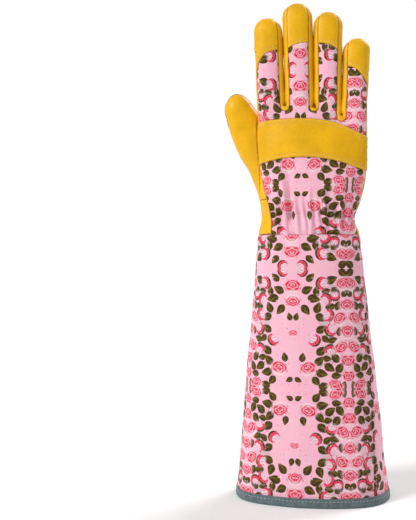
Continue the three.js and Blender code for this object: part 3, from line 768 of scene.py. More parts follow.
def trim_slivers(bm):
    """Turn or drop the thin triangles that a cut leaves, so that the rim bends down evenly."""
    rim = {v for e in bm.edges if e.is_boundary for v in e.verts}
    faces = [f for f in bm.faces if len(f.verts) > 3 and any(v in rim for v in f.verts)]
    bmesh.ops.triangulate(bm, faces=faces)
    for _ in range(6):
        drop, turn, used = [], [], set()
        for face in bm.faces:
            if len(face.verts) != 3 or face in used:
                continue
            longest = max(face.edges, key=lambda e: e.calc_length())
            if 2 * face.calc_area() > THIN * longest.calc_length():
                continue
            sides = set(longest.link_faces)
            if longest.is_boundary:
                drop.append(face)
                used.add(face)
            elif longest.is_manifold and all(len(f.verts) == 3 for f in sides) and not used & sides:
                turn.append(longest)
                used |= sides
        if not drop and not turn:
            break
        bmesh.ops.rotate_edges(bm, edges=turn, use_ccw=False)
        bmesh.ops.delete(bm, geom=drop, context="FACES")


def keep_largest(bm):
    bm.faces.ensure_lookup_table()
    left, groups = set(bm.faces), []
    while left:
        stack, group = [left.pop()], []
        while stack:
            face = stack.pop()
            group.append(face)
            for edge in face.edges:
                for other in edge.link_faces:
                    if other in left:
                        left.remove(other)
                        stack.append(other)
        groups.append(group)
    groups.sort(key=len)
    for group in groups[:-1]:
        bmesh.ops.delete(bm, geom=group, context="FACES")
    loose = [v for v in bm.verts if not v.link_faces]
    bmesh.ops.delete(bm, geom=loose, context="VERTS")


def rim_tree(bm):
    points = []
    for e in bm.edges:
        if e.is_boundary:
            a, b = e.verts[0].co, e.verts[1].co
            steps = max(1, int((b - a).length / (0.5 * MM)))
            points += [a.lerp(b, k / steps) for k in range(steps)]
    return point_tree(points)


def point_tree(points):
    tree = KDTree(max(len(points), 1))
    for i, p in enumerate(points):
        tree.insert(p, i)
    tree.balance()
    return tree


def refine_rim(bm, reach=2.6 * MM, longest=0.75 * MM):
    """Finer faces along the rim, so that it can be rounded."""
    tree = rim_tree(bm)
    near = {v for v in bm.verts if tree.find(v.co)[2] < reach}
    faces = [f for f in bm.faces if len(f.verts) > 3 and any(v in near for v in f.verts)]
    bmesh.ops.triangulate(bm, faces=faces)
    edges = [e for e in bm.edges if e.verts[0] in near and e.verts[1] in near and e.calc_length() > longest]
    bmesh.ops.subdivide_edges(bm, edges=edges, cuts=1)
    bmesh.ops.triangulate(bm, faces=[f for f in bm.faces if len(f.verts) > 4])


def shape_skin(bm, lift=0.0, sink=0.6 * MM, roll=0.9 * MM, pucker=0.0, rows=(), seed=1, pillow=0.0,
               groove=0.28 * MM):
    """Lift a skin off the form, turn its rim down, and press it in along its rows of stitches.
    The distance to the rim stays on the skin for its finish."""
    tree = rim_tree(bm)
    stitched = point_tree([p for row in rows for p, _ in row]) if rows else None
    layer = bm.verts.layers.float.new("seam")
    verts = list(bm.verts)
    co = points_of(verts)
    off = np.array([tree.find(v.co)[2] for v in verts])
    out = lift - sink * bump(off, roll) + pillow * (1 - bump(off, 2 * MM))
    if pucker:
        out += pucker * bump(off, 3.5 * MM) * waves(co, 5 * MM, seed)
    if stitched:
        row_off = np.array([stitched.find(v.co)[2] for v in verts])
        out -= groove * bump(row_off, 0.7 * MM)
    for v, n, d, o in zip(verts, even_normals(bm), off, out):
        v[layer] = d
        v.co += n * o


def even_normals(bm, rounds=2):
    """Each point's normal by its faces' areas, evened out so that no sliver tilts it."""
    bm.normal_update()
    bm.verts.index_update()
    normals = np.array([sum((f.normal * f.calc_area() for f in v.link_faces), Vector()) for v in bm.verts])
    normals /= np.maximum(np.linalg.norm(normals, axis=1), 1e-12)[:, None]
    ends = np.array([(e.verts[0].index, e.verts[1].index) for e in bm.edges])
    for _ in range(rounds):
        total = normals.copy()
        np.add.at(total, ends[:, 0], normals[ends[:, 1]])
        np.add.at(total, ends[:, 1], normals[ends[:, 0]])
        normals = total / np.maximum(np.linalg.norm(total, axis=1), 1e-12)[:, None]
    return [Vector(n) for n in normals]


def thicken(bm, thickness, inside):
    """Give a skin its thickness inwards and close it along its rim, its inner side in its own slot."""
    outer, normals = bm.verts[:], even_normals(bm)
    rim = [next(iter(e.link_loops)) for e in bm.edges if e.is_boundary]
    made = bmesh.ops.duplicate(bm, geom=bm.verts[:] + bm.edges[:] + bm.faces[:])
    twin = made["vert_map"]
    for v, n in zip(outer, normals):
        twin[v].co = v.co - n * thickness
    lining = [g for g in made["geom"] if isinstance(g, bmesh.types.BMFace)]
    for face in lining:
        face.material_index = inside
    bmesh.ops.reverse_faces(bm, faces=lining)
    maps = list(bm.loops.layers.uv.values())
    for loop in rim:
        after = loop.link_loop_next
        a, b = loop.vert, after.vert
        face = bm.faces.new((b, a, twin[a], twin[b]))
        face.smooth = True
        for layer in maps:
            for corner, source in zip(face.loops, (after, loop, loop, after)):
                corner[layer].uv = source[layer].uv
    bm.normal_update()


def add_piece(bm, name, materials, thickness=None, replaces=True):
    """Put a finished skin into the scene as a piece with its own thickness."""
    for face in bm.faces:
        face.material_index = 0
        face.smooth = True
    if thickness:
        thicken(bm, thickness, len(materials) - 1)
    title = f"sewn_{name}" if replaces else name
    mesh = mesh_from(bm, title)
    mesh.validate()
    mesh.materials.clear()
    for material in materials:
        mesh.materials.append(material)
    piece = bpy.data.objects.new(title, mesh)
    bpy.context.scene.collection.objects.link(piece)
    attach(piece, "root")
    if replaces:
        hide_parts(name)
    return piece


def surface(bm):
    return BVHTree.FromBMesh(bm)


def cast_row(tree, line, side):
    """A line of x and z laid on a surface, from the back (-1) or from the palm side (1)."""
    row = []
    for x, z in line:
        hit, normal, _, _ = tree.ray_cast(Vector((x, side * FAR, z)), Vector((0, -side, 0)))
        if hit and abs(normal.y) > STEEP:
            if normal.y * side < 0:
                normal = -normal
            row.append((hit, normal))
    return row


def fine_line(points, step=0.6 * MM):
    line = []
    for (xa, za), (xb, zb) in zip(points, points[1:]):
        count = max(1, int(math.hypot(xb - xa, zb - za) / step))
        line += [(xa + (xb - xa) * k / count, za + (zb - za) * k / count) for k in range(count)]
    return line + [points[-1]]


def inset_line(line, by):
    """A line moved sideways, to its left as it runs."""
    p = np.array(line)
    run = np.gradient(p, axis=0)
    run /= np.linalg.norm(run, axis=1)[:, None]
    return [tuple(q) for q in p + by * np.column_stack((-run[:, 1], run[:, 0]))]


def sew(bm, row, long=2.3 * MM, space=0.9 * MM, wide=0.62 * MM, lift=0.12 * MM):
    """Stitches along a row of places and normals, each a short fat thread with sunk ends."""
    if len(row) < 3:
        return
    places = [p for p, _ in row]
    walked = [0.0]
    for a, b in zip(places, places[1:]):
        walked.append(walked[-1] + (b - a).length)
    total = walked[-1]
    count = int(total / (long + space))
    if count < 1:
        return
    pitch = total / count

    def at(distance):
        i = int(np.clip(np.searchsorted(walked, distance) - 1, 0, len(places) - 2))
        t = (distance - walked[i]) / max(walked[i + 1] - walked[i], 1e-9)
        return places[i].lerp(places[i + 1], t), row[i][1]

    for k in range(count):
        start, _ = at(k * pitch + space / 2)
        end, _ = at(k * pitch + space / 2 + long)
        middle, normal = at(k * pitch + space / 2 + long / 2)
        run = end - start
        if run.length > 1.4 * long or run.length < 0.4 * long:
            continue
        run = run.normalized()
        across = normal.cross(run).normalized()
        up = run.cross(across)
        turn = Matrix((run, across, up)).transposed().to_4x4()
        size = Matrix.Diagonal((long / 2, wide / 2, wide / 2, 1))
        move = Matrix.Translation(middle + normal * lift)
        bmesh.ops.create_uvsphere(bm, u_segments=6, v_segments=5, radius=1,
                                  matrix=move @ turn @ size @ Matrix.Rotation(math.pi / 2, 4, "Y"))


def add_stitches(bm, name, material):
    add_piece(bm, name, [material], replaces=False)


# Finishes

class Graph:
    """Adds nodes to a material or a node group, each with its inputs, and gives back an output."""

    def __init__(self, tree):
        self.tree = tree
        tree.nodes.clear()

    def node(self, kind, *inputs, **settings):
        made = self.tree.nodes.new(kind)
        for key, value in settings.items():
            setattr(made, key, value)
        for socket, value in zip(made.inputs, inputs):
            if value is not None:
                self.join(value, socket)
        return made

    def join(self, value, socket):
        if isinstance(value, bpy.types.NodeSocket):
            self.tree.links.new(value, socket)
        elif socket.type == "RGBA" and len(value) == 3:
            socket.default_value = (*value, 1)
        else:
            socket.default_value = value

    def math(self, operation, *values):
        return self.node("ShaderNodeMath", *values, operation=operation).outputs[0]

    def faded(self, factor, by):
        return self.math("MULTIPLY", factor, by)

    def vector(self, operation, *values):
        made = self.node("ShaderNodeVectorMath", *values, operation=operation)
        return made.outputs["Value" if operation in {"LENGTH", "DISTANCE", "DOT_PRODUCT"} else "Vector"]

    def scaled(self, vector, by):
        return self.vector("SCALE", vector, None, None, by)

    def mix(self, factor, a, b, blend="MIX"):
        made = self.tree.nodes.new("ShaderNodeMix")
        made.data_type, made.blend_type = "RGBA", blend
        for socket, value in zip((made.inputs[0], made.inputs[6], made.inputs[7]), (factor, a, b)):
            self.join(value, socket)
        return made.outputs[2]

    def mix_vector(self, factor, a, b):
        made = self.tree.nodes.new("ShaderNodeMix")
        made.data_type = "VECTOR"
        for socket, value in zip((made.inputs[0], made.inputs[4], made.inputs[5]), (factor, a, b)):
            self.join(value, socket)
        return made.outputs[1]

    def step(self, value, low, high):
        """0 below low, 1 above high, and a smooth rise between them; low may be above high."""
        made = self.node("ShaderNodeMapRange", value, low, high, 0.0, 1.0, interpolation_type="SMOOTHSTEP")
        return made.outputs[0]

    def ramp(self, value, *stops):
        made = self.node("ShaderNodeValToRGB", value)
        ramp = made.color_ramp
        while len(ramp.elements) < len(stops):
            ramp.elements.new(0.5)
        for element, (place, colour) in zip(ramp.elements, stops):
            element.position = place
            element.color = (*colour, 1)
        return made.outputs[0]

    def noise(self, where, scale, detail=2.0, roughness=0.5, output="Fac"):
        made = self.node("ShaderNodeTexNoise", where)
        made.inputs["Scale"].default_value = scale
        made.inputs["Detail"].default_value = detail
        made.inputs["Roughness"].default_value = roughness
        return made.outputs[output]

    def mapping(self, where, location=(0, 0, 0), turn=(0, 0, 0), scale=(1, 1, 1), kind="POINT"):
        made = self.node("ShaderNodeMapping", where, vector_type=kind)
        made.inputs["Location"].default_value = location
        made.inputs["Rotation"].default_value = turn
        made.inputs["Scale"].default_value = scale
        return made.outputs[0]

    def split(self, vector):
        return self.node("ShaderNodeSeparateXYZ", vector).outputs

    def combine(self, x, y, z=0.0):
        return self.node("ShaderNodeCombineXYZ", x, y, z).outputs[0]

    def bumped(self, height, strength, distance, normal=None):
        made = self.tree.nodes.new("ShaderNodeBump")
        made.inputs["Strength"].default_value = strength
        made.inputs["Distance"].default_value = distance
        self.tree.links.new(height, made.inputs["Height"])
        if normal:
            self.tree.links.new(normal, made.inputs["Normal"])
        return made.outputs[0]

    def seam(self):
        return self.node("ShaderNodeAttribute", attribute_name="seam").outputs["Fac"]

    def place(self):
        return self.node("ShaderNodeTexCoord").outputs["Object"]

    def finish(self, colour, normal=None, roughness=0.5, **sockets):
        shader = self.tree.nodes.new("ShaderNodeBsdfPrincipled")
        self.join(colour, shader.inputs["Base Color"])
        self.join(roughness, shader.inputs["Roughness"])
        for key, value in sockets.items():
            shader.inputs[key.replace("_", " ")].default_value = value
        if normal:
            self.tree.links.new(normal, shader.inputs["Normal"])
        out = self.tree.nodes.new("ShaderNodeOutputMaterial")
        self.tree.links.new(shader.outputs[0], out.inputs[0])


def material(name):
    """A named finish, and the graph to fill if it is new."""
    known = bpy.data.materials.get(name)
    if known:
        return known, None
    made = bpy.data.materials.new(name)
    made.use_nodes = True
    return made, Graph(made.node_tree)


def group(name, inputs, outputs):
    tree = bpy.data.node_groups.new(name, "ShaderNodeTree")
    for title, kind in inputs:
        tree.interface.new_socket(name=title, in_out="INPUT", socket_type=kind)
    for title, kind in outputs:
        tree.interface.new_socket(name=title, in_out="OUTPUT", socket_type=kind)
    graph = Graph(tree)
    start = tree.nodes.new("NodeGroupInput")
    end = tree.nodes.new("NodeGroupOutput")
    return tree, graph, start.outputs, end.inputs


def use_group(graph, tree, *inputs):
    made = graph.tree.nodes.new("ShaderNodeGroup")
    made.node_tree = tree
    for socket, value in zip(made.inputs, inputs):
        graph.join(value, socket)
    return made.outputs


def rose_group():
    """A full rose in a unit circle: rings of petals round a heart, each with a pale lip and a red
    shadow behind it, washed pale on its lower side."""
    tree, g, given, wanted = group("Rose", [("Place", "NodeSocketVector")],
                                   [("Colour", "NodeSocketColor"), ("Ink", "NodeSocketFloat")])
    c = colours()
    wobble = g.vector("SUBTRACT", g.noise(given[0], 2.4, 2.0, output="Color"), (0.5, 0.5, 0.5))
    bent = g.vector("ADD", given[0], g.scaled(wobble, 0.34))
    far = g.vector("LENGTH", bent)
    heart = g.vector("SUBTRACT", bent, g.combine(0.0, g.math("MULTIPLY_ADD", far, -0.24, 0.24)))
    x, y, _ = g.split(heart)
    turn = g.math("ARCTAN2", y, x)
    rings = g.math("MULTIPLY", g.vector("LENGTH", heart), 3.1)
    ring = g.math("FLOOR", rings)
    count = g.math("MULTIPLY_ADD", ring, 0.5, 1.5)
    swing = g.math("MULTIPLY_ADD", turn, count, g.math("MULTIPLY", ring, 1.9))
    scallop = g.math("ABSOLUTE", g.math("SINE", swing))
    lip = g.math("MULTIPLY_ADD", scallop, 0.42, 0.42)
    up_petal = g.math("DIVIDE", g.math("FRACT", rings), lip)
    blush = (0.82, 0.33, 0.42)
    petal = g.ramp(up_petal, (0.0, c.petal_deep), (0.3, c.petal), (0.72, blush), (0.92, c.petal_light))
    tone = g.mix(g.step(up_petal, 0.97, 1.06), petal, c.petal_deep)
    below = g.math("MULTIPLY_ADD", g.split(bent)[1], -0.8, g.math("MULTIPLY", g.split(bent)[0], -0.25))
    pale = g.math("MULTIPLY", g.step(below, 0.1, 0.62), g.step(far, 0.3, 0.65))
    washed = g.mix(g.math("MULTIPLY", pale, 0.78), tone, (0.88, 0.72, 0.76))
    colour = g.mix(g.math("MULTIPLY", g.step(far, 0.2, 0.05), 0.8), washed, c.petal_deep)
    edge = g.math("ABSOLUTE", g.math("SINE", g.math("MULTIPLY_ADD", turn, 3.0, 0.7)))
    ink = g.step(g.math("SUBTRACT", g.math("MULTIPLY_ADD", edge, 0.13, 0.84), far), 0.0, 0.05)
    g.join(colour, wanted[0])
    g.join(ink, wanted[1])
    return tree


def bud_group():
    """A half-open bud: pale petals in a rose-red cup, in a dark calyx, in a unit circle."""
    tree, g, given, wanted = group("Bud", [("Place", "NodeSocketVector")],
                                   [("Colour", "NodeSocketColor"), ("Ink", "NodeSocketFloat")])
    c = colours()
    wobble = g.vector("SUBTRACT", g.noise(given[0], 2.0, 2.0, output="Color"), (0.5, 0.5, 0.5))
    bent = g.vector("ADD", given[0], g.scaled(wobble, 0.3))
    far = g.vector("LENGTH", bent)
    cup = g.vector("DISTANCE", bent, (-0.22, 0.42, 0.0))
    calyx = g.vector("DISTANCE", bent, (-0.24, 0.4, 0.0))
    throat = g.vector("DISTANCE", bent, (-0.62, 0.34, 0.0))
    line = g.math("SINE", g.math("MULTIPLY", g.vector("DISTANCE", bent, (0.6, 1.0, 0.0)), 15.0))
    petals = g.mix(g.step(line, 0.0, 0.8), (0.84, 0.64, 0.7), (0.8, 0.3, 0.4))
    petals = g.mix(g.math("MULTIPLY", g.step(throat, 0.5, 0.1), 0.5), petals, (0.5, 0.5, 0.56))
    red = g.mix(g.step(g.noise(bent, 5.0), 0.42, 0.6), c.petal_deep, c.petal)
    petals = g.mix(g.step(cup, 0.6, 0.7), petals, red)
    green = g.mix(g.step(g.noise(bent, 3.5), 0.45, 0.65), c.leaf_deep, c.leaf)
    colour = g.mix(g.step(calyx, 1.06, 1.1), petals, green)
    bite = g.vector("DISTANCE", bent, (-0.5, 0.95, 0.0))
    ink = g.math("MULTIPLY", g.step(far, 0.98, 0.9), g.step(bite, 0.3, 0.4))
    g.join(colour, wanted[0])
    g.join(ink, wanted[1])
    return tree


def leaf_group():
    """A pointed leaf from -1 to 1 along x, with a rib and side veins, one half darker."""
    tree, g, given, wanted = group("Leaf", [("Place", "NodeSocketVector")],
                                   [("Colour", "NodeSocketColor"), ("Ink", "NodeSocketFloat")])
    c = colours()
    x, y, _ = g.split(given[0])
    side = g.math("ABSOLUTE", y)
    room = g.math("SUBTRACT", 1.0, g.math("MULTIPLY", x, x))
    taper = g.math("MULTIPLY_ADD", x, -0.38, 0.95)
    width = g.math("MULTIPLY", g.math("POWER", g.math("MAXIMUM", room, 0.0), 0.8), taper)
    ragged = g.math("MULTIPLY_ADD", g.noise(given[0], 5.0, 1.0), 0.18, g.math("SUBTRACT", width, 0.09))
    ink = g.step(g.math("SUBTRACT", ragged, side), 0.0, 0.09)
    half = g.step(y, -0.12, 0.16)
    tone = g.mix(g.step(g.noise(given[0], 2.4, 3.0), 0.36, 0.66), c.leaf_deep, c.leaf)
    tone = g.mix(g.math("MULTIPLY", half, 0.62), tone, c.leaf_deep)
    vein = g.math("SINE", g.math("MULTIPLY", g.math("SUBTRACT", x, g.math("MULTIPLY", side, 0.7)), 16.0))
    tone = g.mix(g.math("MULTIPLY", g.step(vein, 0.8, 1.0), 0.25), tone, (0.2, 0.155, 0.02))
    tone = g.mix(g.math("MULTIPLY", g.step(side, 0.08, 0.02), 0.4), tone, (0.22, 0.165, 0.025))
    rim = g.step(g.math("SUBTRACT", ragged, side), 0.22, 0.08)
    tone = g.mix(g.math("MULTIPLY", rim, 0.3), tone, (0.18, 0.15, 0.025))
    g.join(tone, wanted[0])
    g.join(ink, wanted[1])
    return tree


# The repeat of the print, which is turned over at each of its edges: 49 by 107 millimetres.
REPEAT = (49.0, 107.0)
# Roses and buds: across and up in millimetres, half width, half height and turn in radians.
ROSES = (
    (0, 91, 9.0, 6.8, 0.0), (0, 78.5, 8.2, 6.2, 3.14), (13, 18, 8.6, 6.8, 0.25), (49, 50, 7.6, 7.2, 0.0),
    (42, 62, 7.6, 6.4, 0.6), (42.5, 38, 7.6, 6.4, -2.5), (49, 74, 8.0, 6.4, 0.2), (49, 26, 8.0, 6.2, 3.0),
    (46, 93, 8.0, 6.4, 0.3), (37, 3, 8.0, 6.2, -0.3), (49, 12, 6.8, 5.6, 2.8), (0, 49, 4.6, 3.4, 0.0),
)
BUDS = (
    (19, 43, 6.2, 5.6, 0.4), (26, 94, 6.4, 5.6, -2.2), (33, 52, 6.2, 5.6, -1.4), (32, 65, 6.0, 5.2, 0.9),
    (30, 80, 5.8, 5.2, 1.9), (33, 35, 5.8, 5.2, 2.8), (9, 104, 5.4, 4.8, 0.4), (38, 82, 5.0, 4.6, -0.4),
)
LEAVES = (
    (13, 88, 5.6, 3.9, 0.5), (19, 80, 6.0, 4.1, -0.2), (11.5, 70, 5.6, 3.8, -0.9), (22, 72, 5.4, 3.8, 1.2),
    (25, 14, 5.8, 4.0, -0.2), (23, 25, 5.6, 3.8, 0.8), (20, 7, 5.0, 3.6, -0.9), (8, 28, 4.4, 3.2, 1.4),
    (25, 53, 5.4, 3.7, 0.6), (25, 63, 5.6, 3.9, -0.5), (25, 34, 5.8, 4.0, 0.7), (37, 28, 5.4, 3.8, 2.2),
    (41, 19, 5.6, 3.8, 1.0), (32, 19, 5.6, 3.9, -0.6), (35, 43.5, 4.8, 3.4, 0.3), (34, 73, 5.4, 3.7, 0.2),
    (39, 86, 5.6, 3.8, -0.8), (35, 97, 6.0, 4.1, 0.4), (46, 103, 5.4, 3.7, -0.5), (27, 3, 5.4, 3.7, 0.3),
    (44, 3, 5.0, 3.5, 1.2), (3, 64, 3.8, 2.7, 1.3), (16, 99, 5.0, 3.4, 0.8), (4, 8, 3.6, 2.5, -0.5),
    (21, 87, 4.6, 3.2, 1.5), (40, 74, 4.6, 3.2, 1.2), (30, 27, 4.4, 3.0, -0.1), (41, 51, 4.2, 3.0, 1.5),
    (29, 44, 4.6, 3.2, -0.7), (30, 87, 4.4, 3.1, 0.2), (47, 85, 4.2, 3.0, 0.9), (38, 12, 4.8, 3.4, 0.1),
)
STEMS = (
    ((13, 79), (24, 84)), ((18, 12), (27, 24)), ((27, 44), (33, 62)), ((36, 88), (42, 99)),
    ((33, 22), (40, 30)),
)
# Greyish clouds behind the flowers: across, up and half width.
CLOUDS = ((28, 55, 6.5), (35, 88, 5.0), (30, 27, 4.2))


def nearest(g, where, marks):
    """The place seen from the nearest of the marks, each turned and sized to its own unit circle."""
    best, place = None, None
    for x, y, long, wide, turn in marks:
        own = g.mapping(where, (x, y, 0), (0, 0, turn), (long, wide, 1), "TEXTURE")
        far = g.vector("LENGTH", own)
        if best is None:
            best, place = far, own
            continue
        closer = g.math("LESS_THAN", far, best)
        place = g.mix_vector(closer, place, own)
        best = g.math("MINIMUM", best, far)
    return place


def print_group():
    """The rose print: roses, buds, leaves and specks on a pink ground, in millimetres of cloth."""
    known = bpy.data.node_groups.get("Rose print")
    if known:
        return known
    rose, bud, leaf = rose_group(), bud_group(), leaf_group()
    tree, g, given, wanted = group("Rose print", [("Cloth", "NodeSocketVector")],
                                   [("Colour", "NodeSocketColor")])
    c = colours()
    across, up, _ = g.split(given[0])
    where = g.combine(g.math("PINGPONG", across, REPEAT[0]), g.math("PINGPONG", up, REPEAT[1]))
    ground = g.mix(g.step(g.noise(where, 0.045, 2.0), 0.38, 0.66), c.ground, (0.87, 0.5, 0.6))
    blotch = g.step(g.noise(where, 0.35, 3.0), 0.56, 0.7)
    ground = g.mix(g.faded(blotch, 0.25), ground, (0.86, 0.56, 0.65))
    for x, y, radius in CLOUDS:
        own = g.mapping(where, (x, y, 0), (0, 0, 0.4), (radius, radius * 1.4, 1), "TEXTURE")
        off = g.vector("LENGTH", own)
        ragged = g.math("MULTIPLY_ADD", g.noise(where, 0.5, 2.0), 0.8, off)
        ground = g.mix(g.math("MULTIPLY", g.step(ragged, 1.35, 1.1), 0.55), ground, (0.5, 0.38, 0.43))
    for (xa, ya), (xb, yb) in STEMS:
        long, turn = math.hypot(xb - xa, yb - ya) / 2, math.atan2(yb - ya, xb - xa)
        own = g.mapping(where, ((xa + xb) / 2, (ya + yb) / 2, 0), (0, 0, turn), (long, 1, 1), "TEXTURE")
        sx, sy, _ = g.split(own)
        bow = g.math("MULTIPLY_ADD", g.math("MULTIPLY", sx, sx), 1.1, sy)
        thick, end = g.step(g.math("ABSOLUTE", bow), 0.42, 0.25), g.step(g.math("ABSOLUTE", sx), 1.0, 0.9)
        ink = g.math("MULTIPLY", thick, end)
        ground = g.mix(g.math("MULTIPLY", ink, 0.8), ground, (0.32, 0.2, 0.09))
    specks = g.node("ShaderNodeTexVoronoi", where, voronoi_dimensions="2D")
    specks.inputs["Scale"].default_value = 0.19
    chosen = g.step(g.split(specks.outputs["Color"])[0], 0.62, 0.66)
    dots = g.math("MULTIPLY", g.step(specks.outputs["Distance"], 0.085, 0.055), chosen)
    ground = g.mix(g.math("MULTIPLY", dots, 0.75), ground, (0.12, 0.06, 0.09))
    leaf_place = nearest(g, where, LEAVES)
    made = use_group(g, leaf, leaf_place)
    colour = g.mix(made[1], ground, made[0])
    for marks, motif in ((BUDS, bud), (ROSES, rose)):
        place = nearest(g, where, marks)
        made = use_group(g, motif, place)
        halo = g.step(g.vector("LENGTH", place), 1.25, 0.95)
        colour = g.mix(g.math("MULTIPLY", halo, 0.22), colour, (0.86, 0.62, 0.69))
        colour = g.mix(made[1], colour, made[0])
    glints = g.node("ShaderNodeTexVoronoi", where, voronoi_dimensions="2D")
    glints.inputs["Scale"].default_value = 0.14
    chosen = g.step(g.split(glints.outputs["Color"])[1], 0.74, 0.78)
    shine = g.math("MULTIPLY", g.step(glints.outputs["Distance"], 0.1, 0.05), chosen)
    colour = g.mix(g.math("MULTIPLY", shine, 0.7), colour, (0.86, 0.76, 0.7))
    g.join(colour, wanted[0])
    return tree


def printed_cloth():
    """Plain-woven cotton with the rose print, laid by the cloth's own cutting map."""
    made, g = material("Rose printed cotton")
    if not g:
        return made
    uv = g.node("ShaderNodeUVMap", uv_map="cloth").outputs[0]
    cloth = g.scaled(uv, 1000.0)
    colour = use_group(g, print_group(), cloth)[0]
    x, y, _ = g.split(cloth)
    yarn = 0.62  # millimetres from one pair of threads to the next
    warp = g.math("SINE", g.math("MULTIPLY", x, 2 * math.pi / yarn))
    weft = g.math("SINE", g.math("MULTIPLY", y, 2 * math.pi / yarn))
    weave = g.math("MULTIPLY", warp, weft)
    slub = g.noise(g.mapping(cloth, scale=(0.25, 3.0, 1.0)), 1.0, 3.0)
    colour = g.mix(g.math("MULTIPLY", g.step(slub, 0.75, 0.35), 0.3), colour, (0.88, 0.78, 0.82), "MULTIPLY")
    # Painted shade: the cloth is darkened to a deep pink within about 1.5 mm of its seams and edges, where
    # shade falls between the pieces.
    shade = g.faded(g.step(g.seam(), 1.5 * MM, 0.3 * MM), 0.42)
    colour = g.mix(shade, colour, (0.42, 0.1, 0.16), "MULTIPLY")
    weave_bump = g.bumped(g.math("MULTIPLY_ADD", slub, 0.7, weave), 0.35, 0.12 * MM)
    crumple = g.bumped(g.noise(cloth, 0.11, 4.0, 0.55), 0.3, 2.2 * MM, weave_bump)
    rough = g.math("MULTIPLY_ADD", slub, 0.12, 0.76)
    g.finish(colour, crumple, rough, Sheen_Weight=0.1, Sheen_Roughness=0.5, Specular_IOR_Level=0.18,
             Subsurface_Weight=0.2, Subsurface_Radius=(1.0, 0.25, 0.32), Subsurface_Scale=1.6 * MM)
    return made


def cloth_reverse():
    """The unprinted side of the cotton, where the print shows through faintly."""
    made, g = material("Cotton reverse")
    if not g:
        return made
    place = g.place()
    fibres = g.noise(g.mapping(place, scale=(900, 900, 300)), 1.0, 2.0)
    ghost = g.noise(place, 70.0, 3.0)
    colour = g.mix(g.step(ghost, 0.5, 0.62), (0.87, 0.66, 0.7), (0.76, 0.42, 0.48))
    colour = g.mix(g.math("MULTIPLY", fibres, 0.25), colour, (0.93, 0.85, 0.85))
    g.finish(colour, g.bumped(fibres, 0.4, 0.2 * MM), 0.9, Sheen_Weight=0.3)
    return made


def leather(name, tint=(1, 1, 1), nap=0.0):
    """Soft grain leather: fine pebbling, slow changes of tone, darker and flatter in its seams, the darkness
    being painted shade, with a painted highlight in a band just inside them.
    """
    made, g = material(name)
    if not g:
        return made
    place = g.place()
    base = tuple(a * b for a, b in zip(colours().leather, tint))
    drift = g.scaled(g.noise(place, 420.0, 2.0, output="Color"), 1.1 * MM)
    cells = g.node("ShaderNodeTexVoronoi", g.vector("ADD", place, drift), feature="F1")
    cells.inputs["Scale"].default_value = 1150.0
    pebble = g.math("SUBTRACT", 1.0, cells.outputs["Distance"])
    wrinkle = g.noise(g.mapping(place, scale=(1, 1, 0.45)), 190.0, 4.0, 0.62)
    cloud = g.noise(place, 26.0, 3.0, 0.55)
    mottle = g.noise(place, 120.0, 4.0, 0.6)
    darker, lighter = tuple(0.88 * v for v in base), tuple(min(1.0, 1.08 * v) for v in base)
    colour = g.mix(g.step(cloud, 0.32, 0.7), darker, lighter)
    colour = g.mix(g.math("MULTIPLY", g.step(mottle, 0.45, 0.72), 0.28), colour, (0.7, 0.33, 0.003))
    pores = g.step(cells.outputs["Distance"], 0.55, 0.8)
    colour = g.mix(g.faded(pores, 0.2), colour, (0.42, 0.18, 0.002))
    seam = g.seam()
    ragged = g.math("MULTIPLY_ADD", g.math("SUBTRACT", mottle, 0.5), 1.6 * MM, seam)
    # Painted shade: dark brown within about a millimetre of each seam, ragged with the mottling.
    shade = g.step(ragged, 1.0 * MM, 0.0)
    colour = g.mix(g.math("MULTIPLY", shade, 0.55), colour, (0.22, 0.06, 0.004))
    # Painted highlight: a lighter, warmer band from about 0.7 to 3.4 mm inside each seam, along the rolled
    # edge.
    painted_rim_highlight = g.math("MULTIPLY", g.step(ragged, 3.4 * MM, 1.6 * MM), g.step(ragged, 0.7 * MM, 1.4 * MM))
    colour = g.mix(g.math("MULTIPLY", painted_rim_highlight, 0.3), colour, (0.93, 0.56, 0.05))
    fine = g.bumped(pebble, 0.22, 0.14 * MM)
    grain = g.bumped(wrinkle, 0.3, 0.55 * MM, fine)
    soft = g.bumped(cloud, 0.25, 2.0 * MM, grain)
    rough = g.math("MULTIPLY_ADD", mottle, 0.16, 0.4 + nap)
    g.finish(colour, soft, rough, Specular_IOR_Level=0.22)
    return made


def dark_facing():
    """Black synthetic suede: a short nap that catches the light unevenly."""
    made, g = material("Dark suede facing")
    if not g:
        return made
    place = g.place()
    nap = g.noise(g.mapping(place, scale=(1, 1, 0.5)), 1300.0, 3.0, 0.7)
    brushed = g.noise(place, 55.0, 4.0, 0.6)
    base = tuple(colours().dark)
    colour = g.mix(g.step(brushed, 0.4, 0.68), base, tuple(2.3 * v for v in base))
    colour = g.mix(g.math("MULTIPLY", g.step(nap, 0.5, 0.75), 0.4), colour, (0.018, 0.018, 0.02))
    # Painted shade: the suede is darkened to near black within about 1.2 mm of each seam.
    shade = g.step(g.seam(), 1.2 * MM, 0.1 * MM)
    colour = g.mix(g.faded(shade, 0.6), colour, (0.002, 0.002, 0.002))
    bumps = g.bumped(brushed, 0.3, 0.9 * MM, g.bumped(nap, 0.5, 0.15 * MM))
    g.finish(colour, bumps, g.math("MULTIPLY_ADD", nap, 0.15, 0.7), Sheen_Weight=0.03, Sheen_Roughness=0.4,
             Specular_IOR_Level=0.2)
    return made


